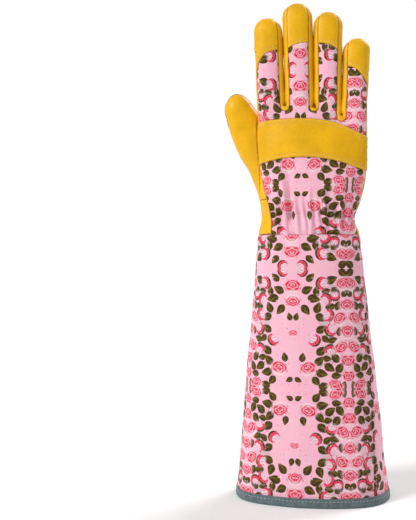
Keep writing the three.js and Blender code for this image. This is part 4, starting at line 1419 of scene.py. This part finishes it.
def hem_tape():
    """Grey ribbed binding tape, its ribs running across it."""
    made, g = material("Grey binding tape")
    if not g:
        return made
    uv = g.node("ShaderNodeUVMap", uv_map="cloth").outputs[0]
    cloth = g.scaled(uv, 1000.0)
    x, y, _ = g.split(cloth)
    ribs = g.math("SINE", g.math("MULTIPLY", x, 2 * math.pi / 0.8))
    threads = g.math("SINE", g.math("MULTIPLY", y, 2 * math.pi / 0.45))
    wear = g.noise(cloth, 0.3, 4.0, 0.6)
    base = tuple(colours().tape)
    colour = g.mix(g.step(wear, 0.35, 0.7), tuple(0.8 * v for v in base), tuple(1.3 * v for v in base))
    # Painted shade: darker in the troughs between the ribs.
    colour = g.mix(g.math("MULTIPLY", g.step(ribs, -0.2, -0.9), 0.35), colour, (0.05, 0.07, 0.075))
    height = g.math("MULTIPLY_ADD", threads, 0.35, ribs)
    g.finish(colour, g.bumped(height, 0.4, 0.14 * MM), 0.7, Sheen_Weight=0.2, Specular_IOR_Level=0.35)
    return made


def thread(name, colour):
    """Twisted sewing thread."""
    made, g = material(name)
    if not g:
        return made
    twist = g.noise(g.place(), 2600.0, 2.0)
    tone = g.mix(g.step(twist, 0.35, 0.7), tuple(0.72 * v for v in colour), tuple(colour))
    g.finish(tone, g.bumped(twist, 0.4, 0.1 * MM), 0.55, Sheen_Weight=0.2)
    return made


def yellow():
    return leather("Yellow grain leather")


def yellow_thread():
    return thread("Yellow thread", colours().thread)


def black_thread():
    return thread("Black thread", (0.02, 0.02, 0.022))


# The cloth's cutting map

def map_cloth(bm, spot):
    """Lay a flat cutting map on a skin, by a function of the points' places, in metres."""
    layer = bm.loops.layers.uv.new("cloth")
    verts = list(bm.verts)
    u, v = spot(points_of(verts))
    bm.verts.index_update()
    for face in bm.faces:
        for loop in face.loops:
            i = loop.vert.index
            loop[layer].uv = (u[i], v[i])


def back_map(co):
    """Cloth on the back of the hand lies flat across it and turns down at its sides and fingers."""
    x, y, z = co.T
    s = sizes()
    fork = hand_z(knuckle(x))
    finger = ease(fork - 8 * MM, fork + 4 * MM, z)
    middles = np.array([finger_middle(f, z) for f in FINGERS])
    own = np.abs(middles - x).argmin(axis=0)
    middle = middles[own, np.arange(len(x))]
    up = (z - hand_z(0)) / (fork - hand_z(0))
    body_deep = (along(BODY, "up", "wrist_deep", up) * s.wrist_depth
                 + along(BODY, "up", "palm_deep", up) * s.palm_depth) / 2
    quarter = 0.57  # a quarter of a circle is this much longer than its own radius
    curve = quarter * np.maximum(body_deep + y, 0) * np.sign(x - HAND_SHIFT)
    finger_curve = quarter * np.maximum(s.finger_depth / 2 + y, 0) * np.sign(x - middle)
    across = x + curve * (1 - finger) + finger_curve * finger
    return across + BACK_PRINT[0], z - hand_z(0.3) + BACK_PRINT[1]


# Building the pieces

def sleeve_angle(up, t):
    """The angle round the sleeve: t runs from the sewn seam over the palm side and the back to it."""
    low, high = SLEEVE_SEAM
    seam = 2 * math.pi * (low + (high - low) * up)
    return seam + 2 * math.pi * t


def build_sleeve():
    s = sizes()
    around, rows = 232, 128
    bottom = (GAP + TAPE) / s.sleeve_length
    bm = bmesh.new()
    layer = bm.loops.layers.uv.new("cloth")
    attribute = bm.verts.layers.float.new("seam")
    verts = bmesh.ops.create_grid(bm, x_segments=around, y_segments=rows, size=1)["verts"]
    at = grid_places(verts)
    t, up = at[:, 0], bottom + (1 - bottom - GAP / s.sleeve_length) * at[:, 1]
    angle = sleeve_angle(up, t)
    seam_off = np.minimum(t, 1 - t) * 2 * math.pi * MEAN_RADIUS
    top_off, hem_off = (1 - up) * s.sleeve_length, up * s.sleeve_length
    spots = np.column_stack(sleeve_point(angle, up))
    out = -0.9 * MM * bump(seam_off, 1.1 * MM)
    tugs = np.sin(up * s.sleeve_length / (4.6 * MM) + 2 * waves(spots, 60 * MM, 8))
    out += 0.45 * MM * bump(seam_off, 7 * MM) * tugs
    out += 0.5 * MM * waves(spots, 48 * MM, 12) * ease(0, 20 * MM, top_off) * ease(0, 12 * MM, hem_off)
    out += 0.4 * MM * bump(top_off, 6 * MM) * waves(spots, 9 * MM, 4)
    out -= 0.75 * MM * bump(top_off, 1.6 * MM)
    out += 0.9 * MM * bump(top_off - 5 * MM, 4 * MM) * ease(4 * MM, -8 * MM, spots[:, 1])
    place_verts(verts, *sleeve_point(angle, up, out))
    bm.verts.index_update()
    u, v = np.zeros(len(verts)), up * s.sleeve_length
    for level in np.unique(np.round(up, 6)):
        walked = walk_round(level)
        row = np.abs(up - level) < 10 * SAME
        turns = angle[row] / (2 * math.pi)
        turns = np.where(turns > 0.75, turns - 1, turns)
        u[row] = np.interp(turns, ROUND, walked) - np.interp(0, ROUND, walked)
    for vert, d in zip(verts, np.minimum(seam_off, np.minimum(top_off, 1))):
        vert[attribute] = d
    for face in bm.faces:
        own = [loop.vert.index for loop in face.loops]
        wide = max(u[own]) - min(u[own]) > 0.05
        for loop in face.loops:
            i = loop.vert.index
            wrap = wide and u[i] < 0
            length = once_round(up[i]) if wrap else 0
            loop[layer].uv = (u[i] + length + SLEEVE_PRINT[0], v[i] + SLEEVE_PRINT[1])
    bmesh.ops.remove_doubles(bm, verts=bm.verts, dist=SAME)
    bmesh.ops.recalc_face_normals(bm, faces=bm.faces)
    return add_piece(bm, "sleeve", [printed_cloth(), cloth_reverse()], s.cloth)


def walk_round(up):
    """The length of cloth walked at each place round the sleeve, at a height."""
    x, y, _ = sleeve_point(2 * math.pi * ROUND, up)
    return np.concatenate(([0], np.cumsum(np.hypot(np.diff(x), np.diff(y)))))


def once_round(up):
    """The length of cloth once round the sleeve at a height."""
    walked = walk_round(up)
    return float(np.interp(1, ROUND, walked) - np.interp(0, ROUND, walked))


def sleeve_place(angle, up, low, high):
    """A place on the sleeve at one depth, and the way from it to another depth."""
    a = Vector(map(float, sleeve_point(angle, up, low)))
    b = Vector(map(float, sleeve_point(angle, up, high)))
    return a, (b - a).normalized()


def sleeve_seam_row(t, lift):
    ups = np.linspace(0.04, 0.995, 420)
    return [sleeve_place(sleeve_angle(up, t), up, lift, lift + 1 * MM) for up in ups]


def build_hem():
    s = sizes()
    around = 240
    out, inside = GAP + TAPE, s.cloth + GAP + TAPE
    top = BINDING_WIDTH
    lining = -inside + TAPE
    outside = [(out * 0.7, top), (out, top - 0.7 * MM), (out, top * 0.55), (out, 2 * MM)]
    fold = [(out * 0.8, 0.8 * MM), (0.1 * MM, 0.1 * MM), (-inside * 0.6, 0.3 * MM), (-inside, 1.2 * MM)]
    within = [(-inside, top * 0.5), (-inside, top - 0.5 * MM), (-inside + 0.3 * MM, top)]
    slot = [(lining, top - 0.2 * MM), (lining, top * 0.5), (lining, 1.6 * MM), (-s.cloth / 2, 1.1 * MM),
            (GAP, 1.6 * MM), (GAP, top * 0.5), (GAP, top - 0.2 * MM)]
    profile = np.array(outside + fold + within + slot + outside[:1])
    rows = (len(profile) - 1) * 3
    bm = bmesh.new()
    layer = bm.loops.layers.uv.new("cloth")
    seam = bm.verts.layers.float.new("seam")
    verts = bmesh.ops.create_grid(bm, x_segments=around, y_segments=rows, size=1)["verts"]
    at = grid_places(verts)
    place = at[:, 1] * (len(profile) - 1)
    off = np.interp(place, range(len(profile)), profile[:, 0])
    high = np.interp(place, range(len(profile)), profile[:, 1])
    angle = 2 * math.pi * at[:, 0]
    x, y, _ = sleeve_point(angle, high / s.sleeve_length, off)
    spots = np.column_stack((x, y, high))
    outer = off > GAP + 0.1 * MM
    press = 0.22 * MM * bump(high - (top - HEM_ROW), 0.7 * MM) + 0.16 * MM * waves(spots, 11 * MM, 6)
    x, y, _ = sleeve_point(angle, high / s.sleeve_length, off - np.where(outer, press, 0))
    place_verts(verts, x, y, high)
    ring = 2 * math.pi * MEAN_RADIUS
    bm.verts.index_update()
    for face in bm.faces:
        for loop in face.loops:
            i = loop.vert.index
            loop[layer].uv = (at[i, 0] * ring, at[i, 1] * 36 * MM)
    for v, h in zip(verts, high):
        v[seam] = top - h + 1 * MM
    bmesh.ops.remove_doubles(bm, verts=bm.verts, dist=SAME)
    bmesh.ops.recalc_face_normals(bm, faces=bm.faces)
    add_piece(bm, "hem_binding", [hem_tape()])
    up = (top - HEM_ROW) / s.sleeve_length
    row = [sleeve_place(a, up, out - 0.15 * MM, out + 1 * MM) for a in np.linspace(0, 2 * math.pi, 900)]
    bm = bmesh.new()
    sew(bm, row, 2.4 * MM, 1.0 * MM, 0.6 * MM, 0.08 * MM)
    add_stitches(bm, "hem_stitches", thread("Pale grey thread", (0.42, 0.47, 0.48)))


def build_back():
    bm = skin_bmesh(skins()["back_cloth"])
    map_cloth(bm, back_map)
    shape_skin(bm, sink=0.75 * MM, roll=1.1 * MM, pucker=0.35 * MM, seed=14)
    return add_piece(bm, "back_cloth", [printed_cloth(), cloth_reverse()], sizes().cloth)


def build_palm():
    s = sizes()
    bm = skin_bmesh(skins()["palm_leather"])
    height = hand_z(0) - LAP + LAP_ROW
    lap_line = fine_line([(-0.34 * s.palm_width, height), (0.43 * s.palm_width, height)])
    lap_row = cast_row(surface(bm), lap_line, 1)
    shape_skin(bm, sink=0.7 * MM, roll=1.0 * MM, pucker=0.2 * MM, rows=[lap_row], seed=21)
    add_piece(bm, "palm_leather", [yellow()], s.leather)
    bm = bmesh.new()
    sew(bm, lap_row)
    add_stitches(bm, "lap_stitches", yellow_thread())
    bm = skin_bmesh(skins()["side_panel"])
    shape_skin(bm, sink=0.5 * MM, roll=0.8 * MM, pucker=0.12 * MM, seed=22)
    finish = leather("Smooth side leather", (1.03, 1.06, 3.0), -0.06)
    add_piece(bm, "side_panel", [finish], s.leather)


def build_strips():
    for left, right in zip(FINGERS, FINGERS[1:]):
        name = f"side_strip_{left['name']}_{right['name']}"
        bm = skin_bmesh(skins()[name])
        shape_skin(bm, sink=0.55 * MM, roll=0.9 * MM, pillow=0.35 * MM, pucker=0.12 * MM, seed=31)
        add_piece(bm, name, [yellow()], sizes().leather)


def build_caps():
    threads = bmesh.new()
    for i, f in enumerate(FINGERS):
        name = f"cap_{f['name']}"
        bm = skin_bmesh(skins()[name])
        tree = surface(bm)
        middle, half = finger_middle(f, hand_z(0.75)), finger_half(f, hand_z(0.75))
        edge = [q for q in edge_line(cap_edge(i), i) if abs(q[0] - middle) < half + 1 * MM]
        lines = [fine_line(inset_line(edge, by)) for by in CAP_ROWS]
        rows = [cast_row(tree, line, -1) for line in lines]
        shape_skin(bm, lift=0.55 * MM, sink=0.7 * MM, roll=0.8 * MM, pucker=0.1 * MM, rows=rows, seed=41 + i)
        tree = surface(bm)
        for line in lines:
            sew(threads, cast_row(tree, line, -1), *FINE_STITCH)
        add_piece(bm, name, [yellow()], sizes().leather)
    add_stitches(threads, "cap_stitches", yellow_thread())


def build_dark_tips():
    threads = bmesh.new()
    for i, f in enumerate(FINGERS):
        name = f"dark_tip_{f['name']}"
        bm = skin_bmesh(skins()[name])
        middle, half = finger_middle(f, hand_z(0.75)), finger_half(f, hand_z(0.75))
        edge = [(float(np.clip(x, middle - half, middle + half)), z) for x, z in edge_line(tip_edge(i), i)]
        lines = [fine_line(inset_line(edge, by)) for by in TIP_ROWS]
        rows = [cast_row(surface(bm), line, 1) for line in lines]
        shape_skin(bm, lift=0.35 * MM, sink=0.6 * MM, roll=0.8 * MM, rows=rows, seed=51 + i)
        tree = surface(bm)
        for line in lines:
            sew(threads, cast_row(tree, line, 1), *DARK_STITCH)
        add_piece(bm, name, [dark_facing()], sizes().leather)
    add_stitches(threads, "dark_tip_stitches", black_thread())


def build_strap():
    s = sizes()
    bm = skin_bmesh(skins()["knuckle_strap"])
    tree = surface(bm)
    top, bottom = smooth(placed(STRAP_TOP)), smooth(placed(STRAP_BOTTOM))
    edges = ((top, -1), (bottom, 1))
    lines = [fine_line(inset_line(edge, side * by)) for edge, side in edges for by in STRAP_ROWS]
    rows = [cast_row(tree, line, -1) for line in lines]
    shape_skin(bm, lift=GAP + s.leather, sink=0.9 * MM, roll=0.8 * MM, pucker=0.22 * MM, rows=rows, seed=61)
    tree = surface(bm)
    threads = bmesh.new()
    for line in lines:
        sew(threads, cast_row(tree, line, -1), *FINE_STITCH)
    add_piece(bm, "knuckle_strap", [yellow()], s.leather)
    add_stitches(threads, "strap_stitches", yellow_thread())


def build_thumb():
    s = sizes()
    whole = cut(thumb_solid(), as_wall(grown(hand_form(), GAP)))
    wall = thumb_tip_wall()
    bm = skin_bmesh(cut(whole, wall))
    shape_skin(bm, sink=0.6 * MM, roll=1.0 * MM, pucker=0.12 * MM, seed=71)
    finish = leather("Smooth yellow leather", nap=-0.07)
    add_piece(bm, "thumb_leather", [finish], s.leather)
    bm = skin_bmesh(cut(whole, wall, "INTERSECT"))
    x, z = thumb_x(THUMB_TIP[0]), hand_z(THUMB_FOOT) + THUMB_TIP[1] * s.thumb_length
    reach = 24 * MM
    slope = reach * math.tan(THUMB_LEAN)
    lines = [fine_line([(x - reach, z - slope + up), (x + reach, z + slope + up)]) for up in THUMB_TIP_ROWS]
    tree = surface(bm)
    rows = [cast_row(tree, line, 1) for line in lines]
    shape_skin(bm, lift=0.35 * MM, sink=0.6 * MM, roll=0.8 * MM, rows=rows, seed=72)
    tree = surface(bm)
    threads = bmesh.new()
    for line in lines:
        sew(threads, cast_row(tree, line, 1), *DARK_STITCH)
    add_piece(bm, "dark_tip_thumb", [dark_facing()], s.leather)
    add_stitches(threads, "dark_tip_thumb_stitches", black_thread())


def puff(bm, held, frames=20):
    """Blow a held skin up as padding does, with a cloth simulation that is applied."""
    start = [v.co.copy() for v in bm.verts]
    pinned = [i for i, v in enumerate(bm.verts) if v in held]
    work = bpy.data.objects.new("padding", mesh_from(bm, "padding"))
    bpy.context.scene.collection.objects.link(work)
    pins = work.vertex_groups.new(name="sewn")
    pins.add(pinned, 1.0, "REPLACE")
    cloth = work.modifiers.new("padding", "CLOTH")
    settings = cloth.settings
    settings.use_pressure = True
    settings.uniform_pressure_force = PAD_PRESSURE
    settings.effector_weights.gravity = 0
    settings.vertex_group_mass = "sewn"
    settings.quality = 4
    scene = bpy.context.scene
    for number in range(1, frames + 1):
        scene.frame_set(number)
    made = bpy.data.meshes.new_from_object(work.evaluated_get(bpy.context.evaluated_depsgraph_get()))
    bpy.data.objects.remove(work)
    scene.frame_set(1)
    bm = bmesh_from(made)
    for v, before in zip(bm.verts, start):
        move = v.co - before
        if move.length > PAD_RISE:
            v.co = before + move.normalized() * PAD_RISE
    return bm


def blurred(field):
    """Each cell of a field as the mean of its neighbours and itself."""
    wide = np.pad(field, 1, mode="edge")
    return (wide[:-2, 1:-1] + wide[2:, 1:-1] + wide[1:-1, :-2] + wide[1:-1, 2:] + field) / 5


def pad_sheet(outline):
    """An even sheet inside an outline, laid over the palm and the thumb's root, bridging their hollows."""
    over = bmesh_from(cut(hand_form(), thumb_solid(), "UNION"))
    tree = surface(over)
    over.free()
    edge = np.array(outline)
    low, high = edge.min(axis=0) - 3 * MM, edge.max(axis=0) + 3 * MM
    columns, rows = (int(n) for n in (high - low) / PAD_STEP)
    bm = bmesh.new()
    verts = bmesh.ops.create_grid(bm, x_segments=columns, y_segments=rows, size=1)["verts"]
    at = grid_places(verts)
    cell = np.rint(at[:, 1] * rows).astype(int), np.rint(at[:, 0] * columns).astype(int)
    x, z = (low + at * (high - low)).T
    hits = [tree.ray_cast(Vector((a, FAR, b)), Vector((0, -1, 0)))[0] for a, b in zip(x, z)]
    deep = np.zeros((rows + 1, columns + 1))
    known = np.zeros(deep.shape, bool)
    deep[cell] = [hit.y if hit else 0 for hit in hits]
    known[cell] = [hit is not None for hit in hits]
    deep[~known] = deep[known].mean()
    for _ in range(80):
        deep = np.where(known, deep, blurred(deep))
    for _ in range(40):
        deep = np.maximum(deep, blurred(deep))
    for _ in range(4):
        deep = blurred(deep)
    place_verts(verts, x, deep[cell], z)
    made = bmesh.ops.extrude_face_region(bm, geom=bm.faces[:])["geom"]
    moved = [g for g in made if isinstance(g, bmesh.types.BMVert)]
    bmesh.ops.translate(bm, verts=moved, vec=(0, 3 * MM, 0))
    base = set(verts)
    for face in bm.faces:
        face.material_index = 0 if all(v in base for v in face.verts) else 1
    bmesh.ops.recalc_face_normals(bm, faces=bm.faces)
    sheet = two_slots(mesh_from(bm, "sheet"))
    bm = skin_bmesh(cut(sheet, prism(outline, -FAR, FAR), "INTERSECT"))
    if sum(face.normal.y for face in bm.faces) < 0:
        bmesh.ops.reverse_faces(bm, faces=bm.faces)
    bm.normal_update()
    return bm


def build_pad():
    s = sizes()
    outline = smooth(placed(PAD_OUTLINE), closed=True)
    bm = pad_sheet(outline)
    quilting = [fine_line(placed(line)) for line in PAD_QUILTING]
    swell(bm, GAP + 0.5 * s.pad)
    closed = outline + outline[:1]
    rim = inset_line(closed, PAD_ROW)
    if not point_inside(rim[0], outline):
        rim = inset_line(closed, -PAD_ROW)
    tree = surface(bm)
    lines = [fine_line(rim), *(fine_line(line) for line in quilting)]
    rows = [cast_row(tree, line, 1) for line in lines]
    sewn = point_tree([p for row in rows for p, _ in row])
    edge = rim_tree(bm)
    held = {v for v in bm.verts if v.is_boundary or sewn.find(v.co)[2] < 0.8 * MM}
    bm = puff(bm, held)
    bm.normal_update()
    shape_skin(bm, sink=1.2 * MM, roll=0.9 * MM, rows=rows, seed=81, groove=0.45 * MM)
    bm.normal_update()
    tree = surface(bm)
    threads = bmesh.new()
    for line in lines:
        sew(threads, cast_row(tree, line, 1), *PAD_STITCH)
    pad = add_piece(bm, "palm_pad", [dark_facing()], PAD_FACING)
    add_stitches(threads, "pad_stitches", black_thread())
    return pad


def point_inside(point, outline):
    x, z = point
    inside = False
    for (xa, za), (xb, zb) in zip(outline, outline[1:] + outline[:1]):
        if (za > z) != (zb > z) and x < (xb - xa) * (z - za) / (zb - za) + xa:
            inside = not inside
    return inside


# The stage

AMBIENT = 0.38
# Each soft lamp: how high it stands and how far round it is, in degrees, its strength and its size.
SUNS = (("key", 38, -52, 2.3, 22), ("back", 42, 142, 1.9, 30))
# The camera, in pixels of the 416 by 520 frame: its focal length, and how far the glove stands aside.
FRAME_HEIGHT = 520
FOCAL = 900.0
ASIDE = 312.5 - 208
SENSOR = 24
EYE = (0, -0.843, 0.2176)


def build_stage():
    bm = bmesh.new()
    bmesh.ops.create_grid(bm, x_segments=2, y_segments=2, size=6)
    made, g = material("Pale studio floor")
    if g:
        tone = g.mix(g.noise(g.place(), 1.5, 2.0), (0.93, 0.93, 0.925), (0.95, 0.95, 0.95))
        g.finish(tone, None, 0.9, Specular_IOR_Level=0.1)
    mesh = mesh_from(bm, "floor")
    mesh.materials.append(made)
    floor = bpy.data.objects.new("floor", mesh)
    bpy.context.scene.collection.objects.link(floor)

    world = bpy.data.worlds.new("Studio")
    bpy.context.scene.world = world
    world.use_nodes = True
    g = Graph(world.node_tree)
    seen = g.node("ShaderNodeLightPath").outputs["Is Camera Ray"]
    strength = g.math("MULTIPLY_ADD", seen, 1.0 - AMBIENT, AMBIENT)
    sky = g.node("ShaderNodeBackground", (1.0, 1.0, 1.0), strength).outputs[0]
    g.node("ShaderNodeOutputWorld", sky)
    bpy.context.scene.view_settings.view_transform = "Standard"

    for name, pitch, yaw, power, spread_angle in SUNS:
        light = bpy.data.lights.new(name, "SUN")
        light.energy, light.angle = power, math.radians(spread_angle)
        lamp = bpy.data.objects.new(name, light)
        lamp.location = (0, 0, 1)
        lamp.rotation_euler = (math.radians(90 - pitch), 0, math.radians(yaw))
        bpy.context.scene.collection.objects.link(lamp)

    camera = bpy.data.cameras.new("camera")
    camera.sensor_fit = "VERTICAL"
    camera.sensor_height = SENSOR
    camera.lens = SENSOR * FOCAL / FRAME_HEIGHT
    camera.clip_start, camera.clip_end = 0.05, 30
    eye = bpy.data.objects.new("camera", camera)
    eye.location = EYE
    eye.rotation_euler = (math.pi / 2, 0, math.atan(ASIDE / FOCAL))
    bpy.context.scene.collection.objects.link(eye)
    bpy.context.scene.camera = eye


# Operators: one for each piece or group of like pieces, and one for the stage

class GAUNTLET_OT_sleeve(bpy.types.Operator):
    """Sew the long printed sleeve, with its one seam and its soft folds"""
    bl_idname = "gauntlet.sleeve"
    bl_label = "Sleeve"

    def execute(self, context):
        sleeve = build_sleeve()
        hem, wrist = once_round(0), once_round(1)
        bm = bmesh.new()
        row = sleeve_seam_row(SLEEVE_STITCH_TURN, -0.05 * MM)
        sew(bm, row, 2.4 * MM, 1.0 * MM, 0.5 * MM, 0.02 * MM)
        add_stitches(bm, "sleeve_stitches", thread("Pink thread", (0.86, 0.36, 0.46)))
        return {"FINISHED"}


class GAUNTLET_OT_hem(bpy.types.Operator):
    """Fold the grey tape round the hem and stitch it down"""
    bl_idname = "gauntlet.hem"
    bl_label = "Hem binding"

    def execute(self, context):
        build_hem()
        return {"FINISHED"}


class GAUNTLET_OT_back(bpy.types.Operator):
    """Sew the printed cloth back of the hand, gathered over the wrist"""
    bl_idname = "gauntlet.back"
    bl_label = "Cloth back"

    def execute(self, context):
        back = build_back()
        return {"FINISHED"}


class GAUNTLET_OT_palm(bpy.types.Operator):
    """Sew the leather palm and the side panel"""
    bl_idname = "gauntlet.palm"
    bl_label = "Leather palm"

    def execute(self, context):
        build_palm()
        return {"FINISHED"}


class GAUNTLET_OT_strips(bpy.types.Operator):
    """Sew the leather strips between the fingers"""
    bl_idname = "gauntlet.strips"
    bl_label = "Finger strips"

    def execute(self, context):
        build_strips()
        return {"FINISHED"}


class GAUNTLET_OT_caps(bpy.types.Operator):
    """Sew the leather fingertips over the cloth back"""
    bl_idname = "gauntlet.caps"
    bl_label = "Leather fingertips"

    def execute(self, context):
        build_caps()
        return {"FINISHED"}


class GAUNTLET_OT_dark_tips(bpy.types.Operator):
    """Sew the dark fingertips on the palm side"""
    bl_idname = "gauntlet.dark_tips"
    bl_label = "Dark fingertips"

    def execute(self, context):
        build_dark_tips()
        return {"FINISHED"}


class GAUNTLET_OT_strap(bpy.types.Operator):
    """Sew the leather strap over the knuckles"""
    bl_idname = "gauntlet.strap"
    bl_label = "Knuckle strap"

    def execute(self, context):
        build_strap()
        return {"FINISHED"}


class GAUNTLET_OT_thumb(bpy.types.Operator):
    """Sew the thumb and its dark tip"""
    bl_idname = "gauntlet.thumb"
    bl_label = "Thumb"

    def execute(self, context):
        build_thumb()
        return {"FINISHED"}


class GAUNTLET_OT_pad(bpy.types.Operator):
    """Pad and quilt the dark patch on the palm"""
    bl_idname = "gauntlet.pad"
    bl_label = "Palm pad"

    def execute(self, context):
        build_pad()
        return {"FINISHED"}


class GAUNTLET_OT_stage(bpy.types.Operator):
    """Lay the pale floor, hang the lights and set the camera"""
    bl_idname = "gauntlet.stage"
    bl_label = "Stage"

    def execute(self, context):
        build_stage()
        return {"FINISHED"}


OPERATORS = (
    GAUNTLET_OT_sleeve, GAUNTLET_OT_hem, GAUNTLET_OT_back, GAUNTLET_OT_palm, GAUNTLET_OT_strips,
    GAUNTLET_OT_caps, GAUNTLET_OT_dark_tips, GAUNTLET_OT_strap, GAUNTLET_OT_thumb, GAUNTLET_OT_pad,
    GAUNTLET_OT_stage,
)


class GAUNTLET_PT_pieces(bpy.types.Panel):
    """The gauntlet's pieces, sizes and colours"""
    bl_idname = "GAUNTLET_PT_pieces"
    bl_label = "Rose pruning gauntlet"
    bl_space_type = "VIEW_3D"
    bl_region_type = "UI"
    bl_category = "Gauntlet"

    def draw(self, context):
        for operator in OPERATORS:
            self.layout.operator(operator.bl_idname)
        for title, values in (("Sizes", sizes()), ("Colours", colours())):
            box = self.layout.box()
            box.label(text=title)
            for name in values.__annotations__:
                box.prop(values, name)


CLASSES = (GauntletSizes, GauntletColours, *OPERATORS, GAUNTLET_PT_pieces)


def register():
    for cls in CLASSES:
        bpy.utils.register_class(cls)
    bpy.types.Scene.gauntlet_sizes = PointerProperty(type=GauntletSizes)
    bpy.types.Scene.gauntlet_colours = PointerProperty(type=GauntletColours)


def unregister():
    del bpy.types.Scene.gauntlet_colours
    del bpy.types.Scene.gauntlet_sizes
    for cls in reversed(CLASSES):
        bpy.utils.unregister_class(cls)


def main():
    register()
    for operator in OPERATORS:
        family, name = operator.bl_idname.split(".")
        getattr(getattr(bpy.ops, family), name)()


if __name__ == "__main__":
    main()
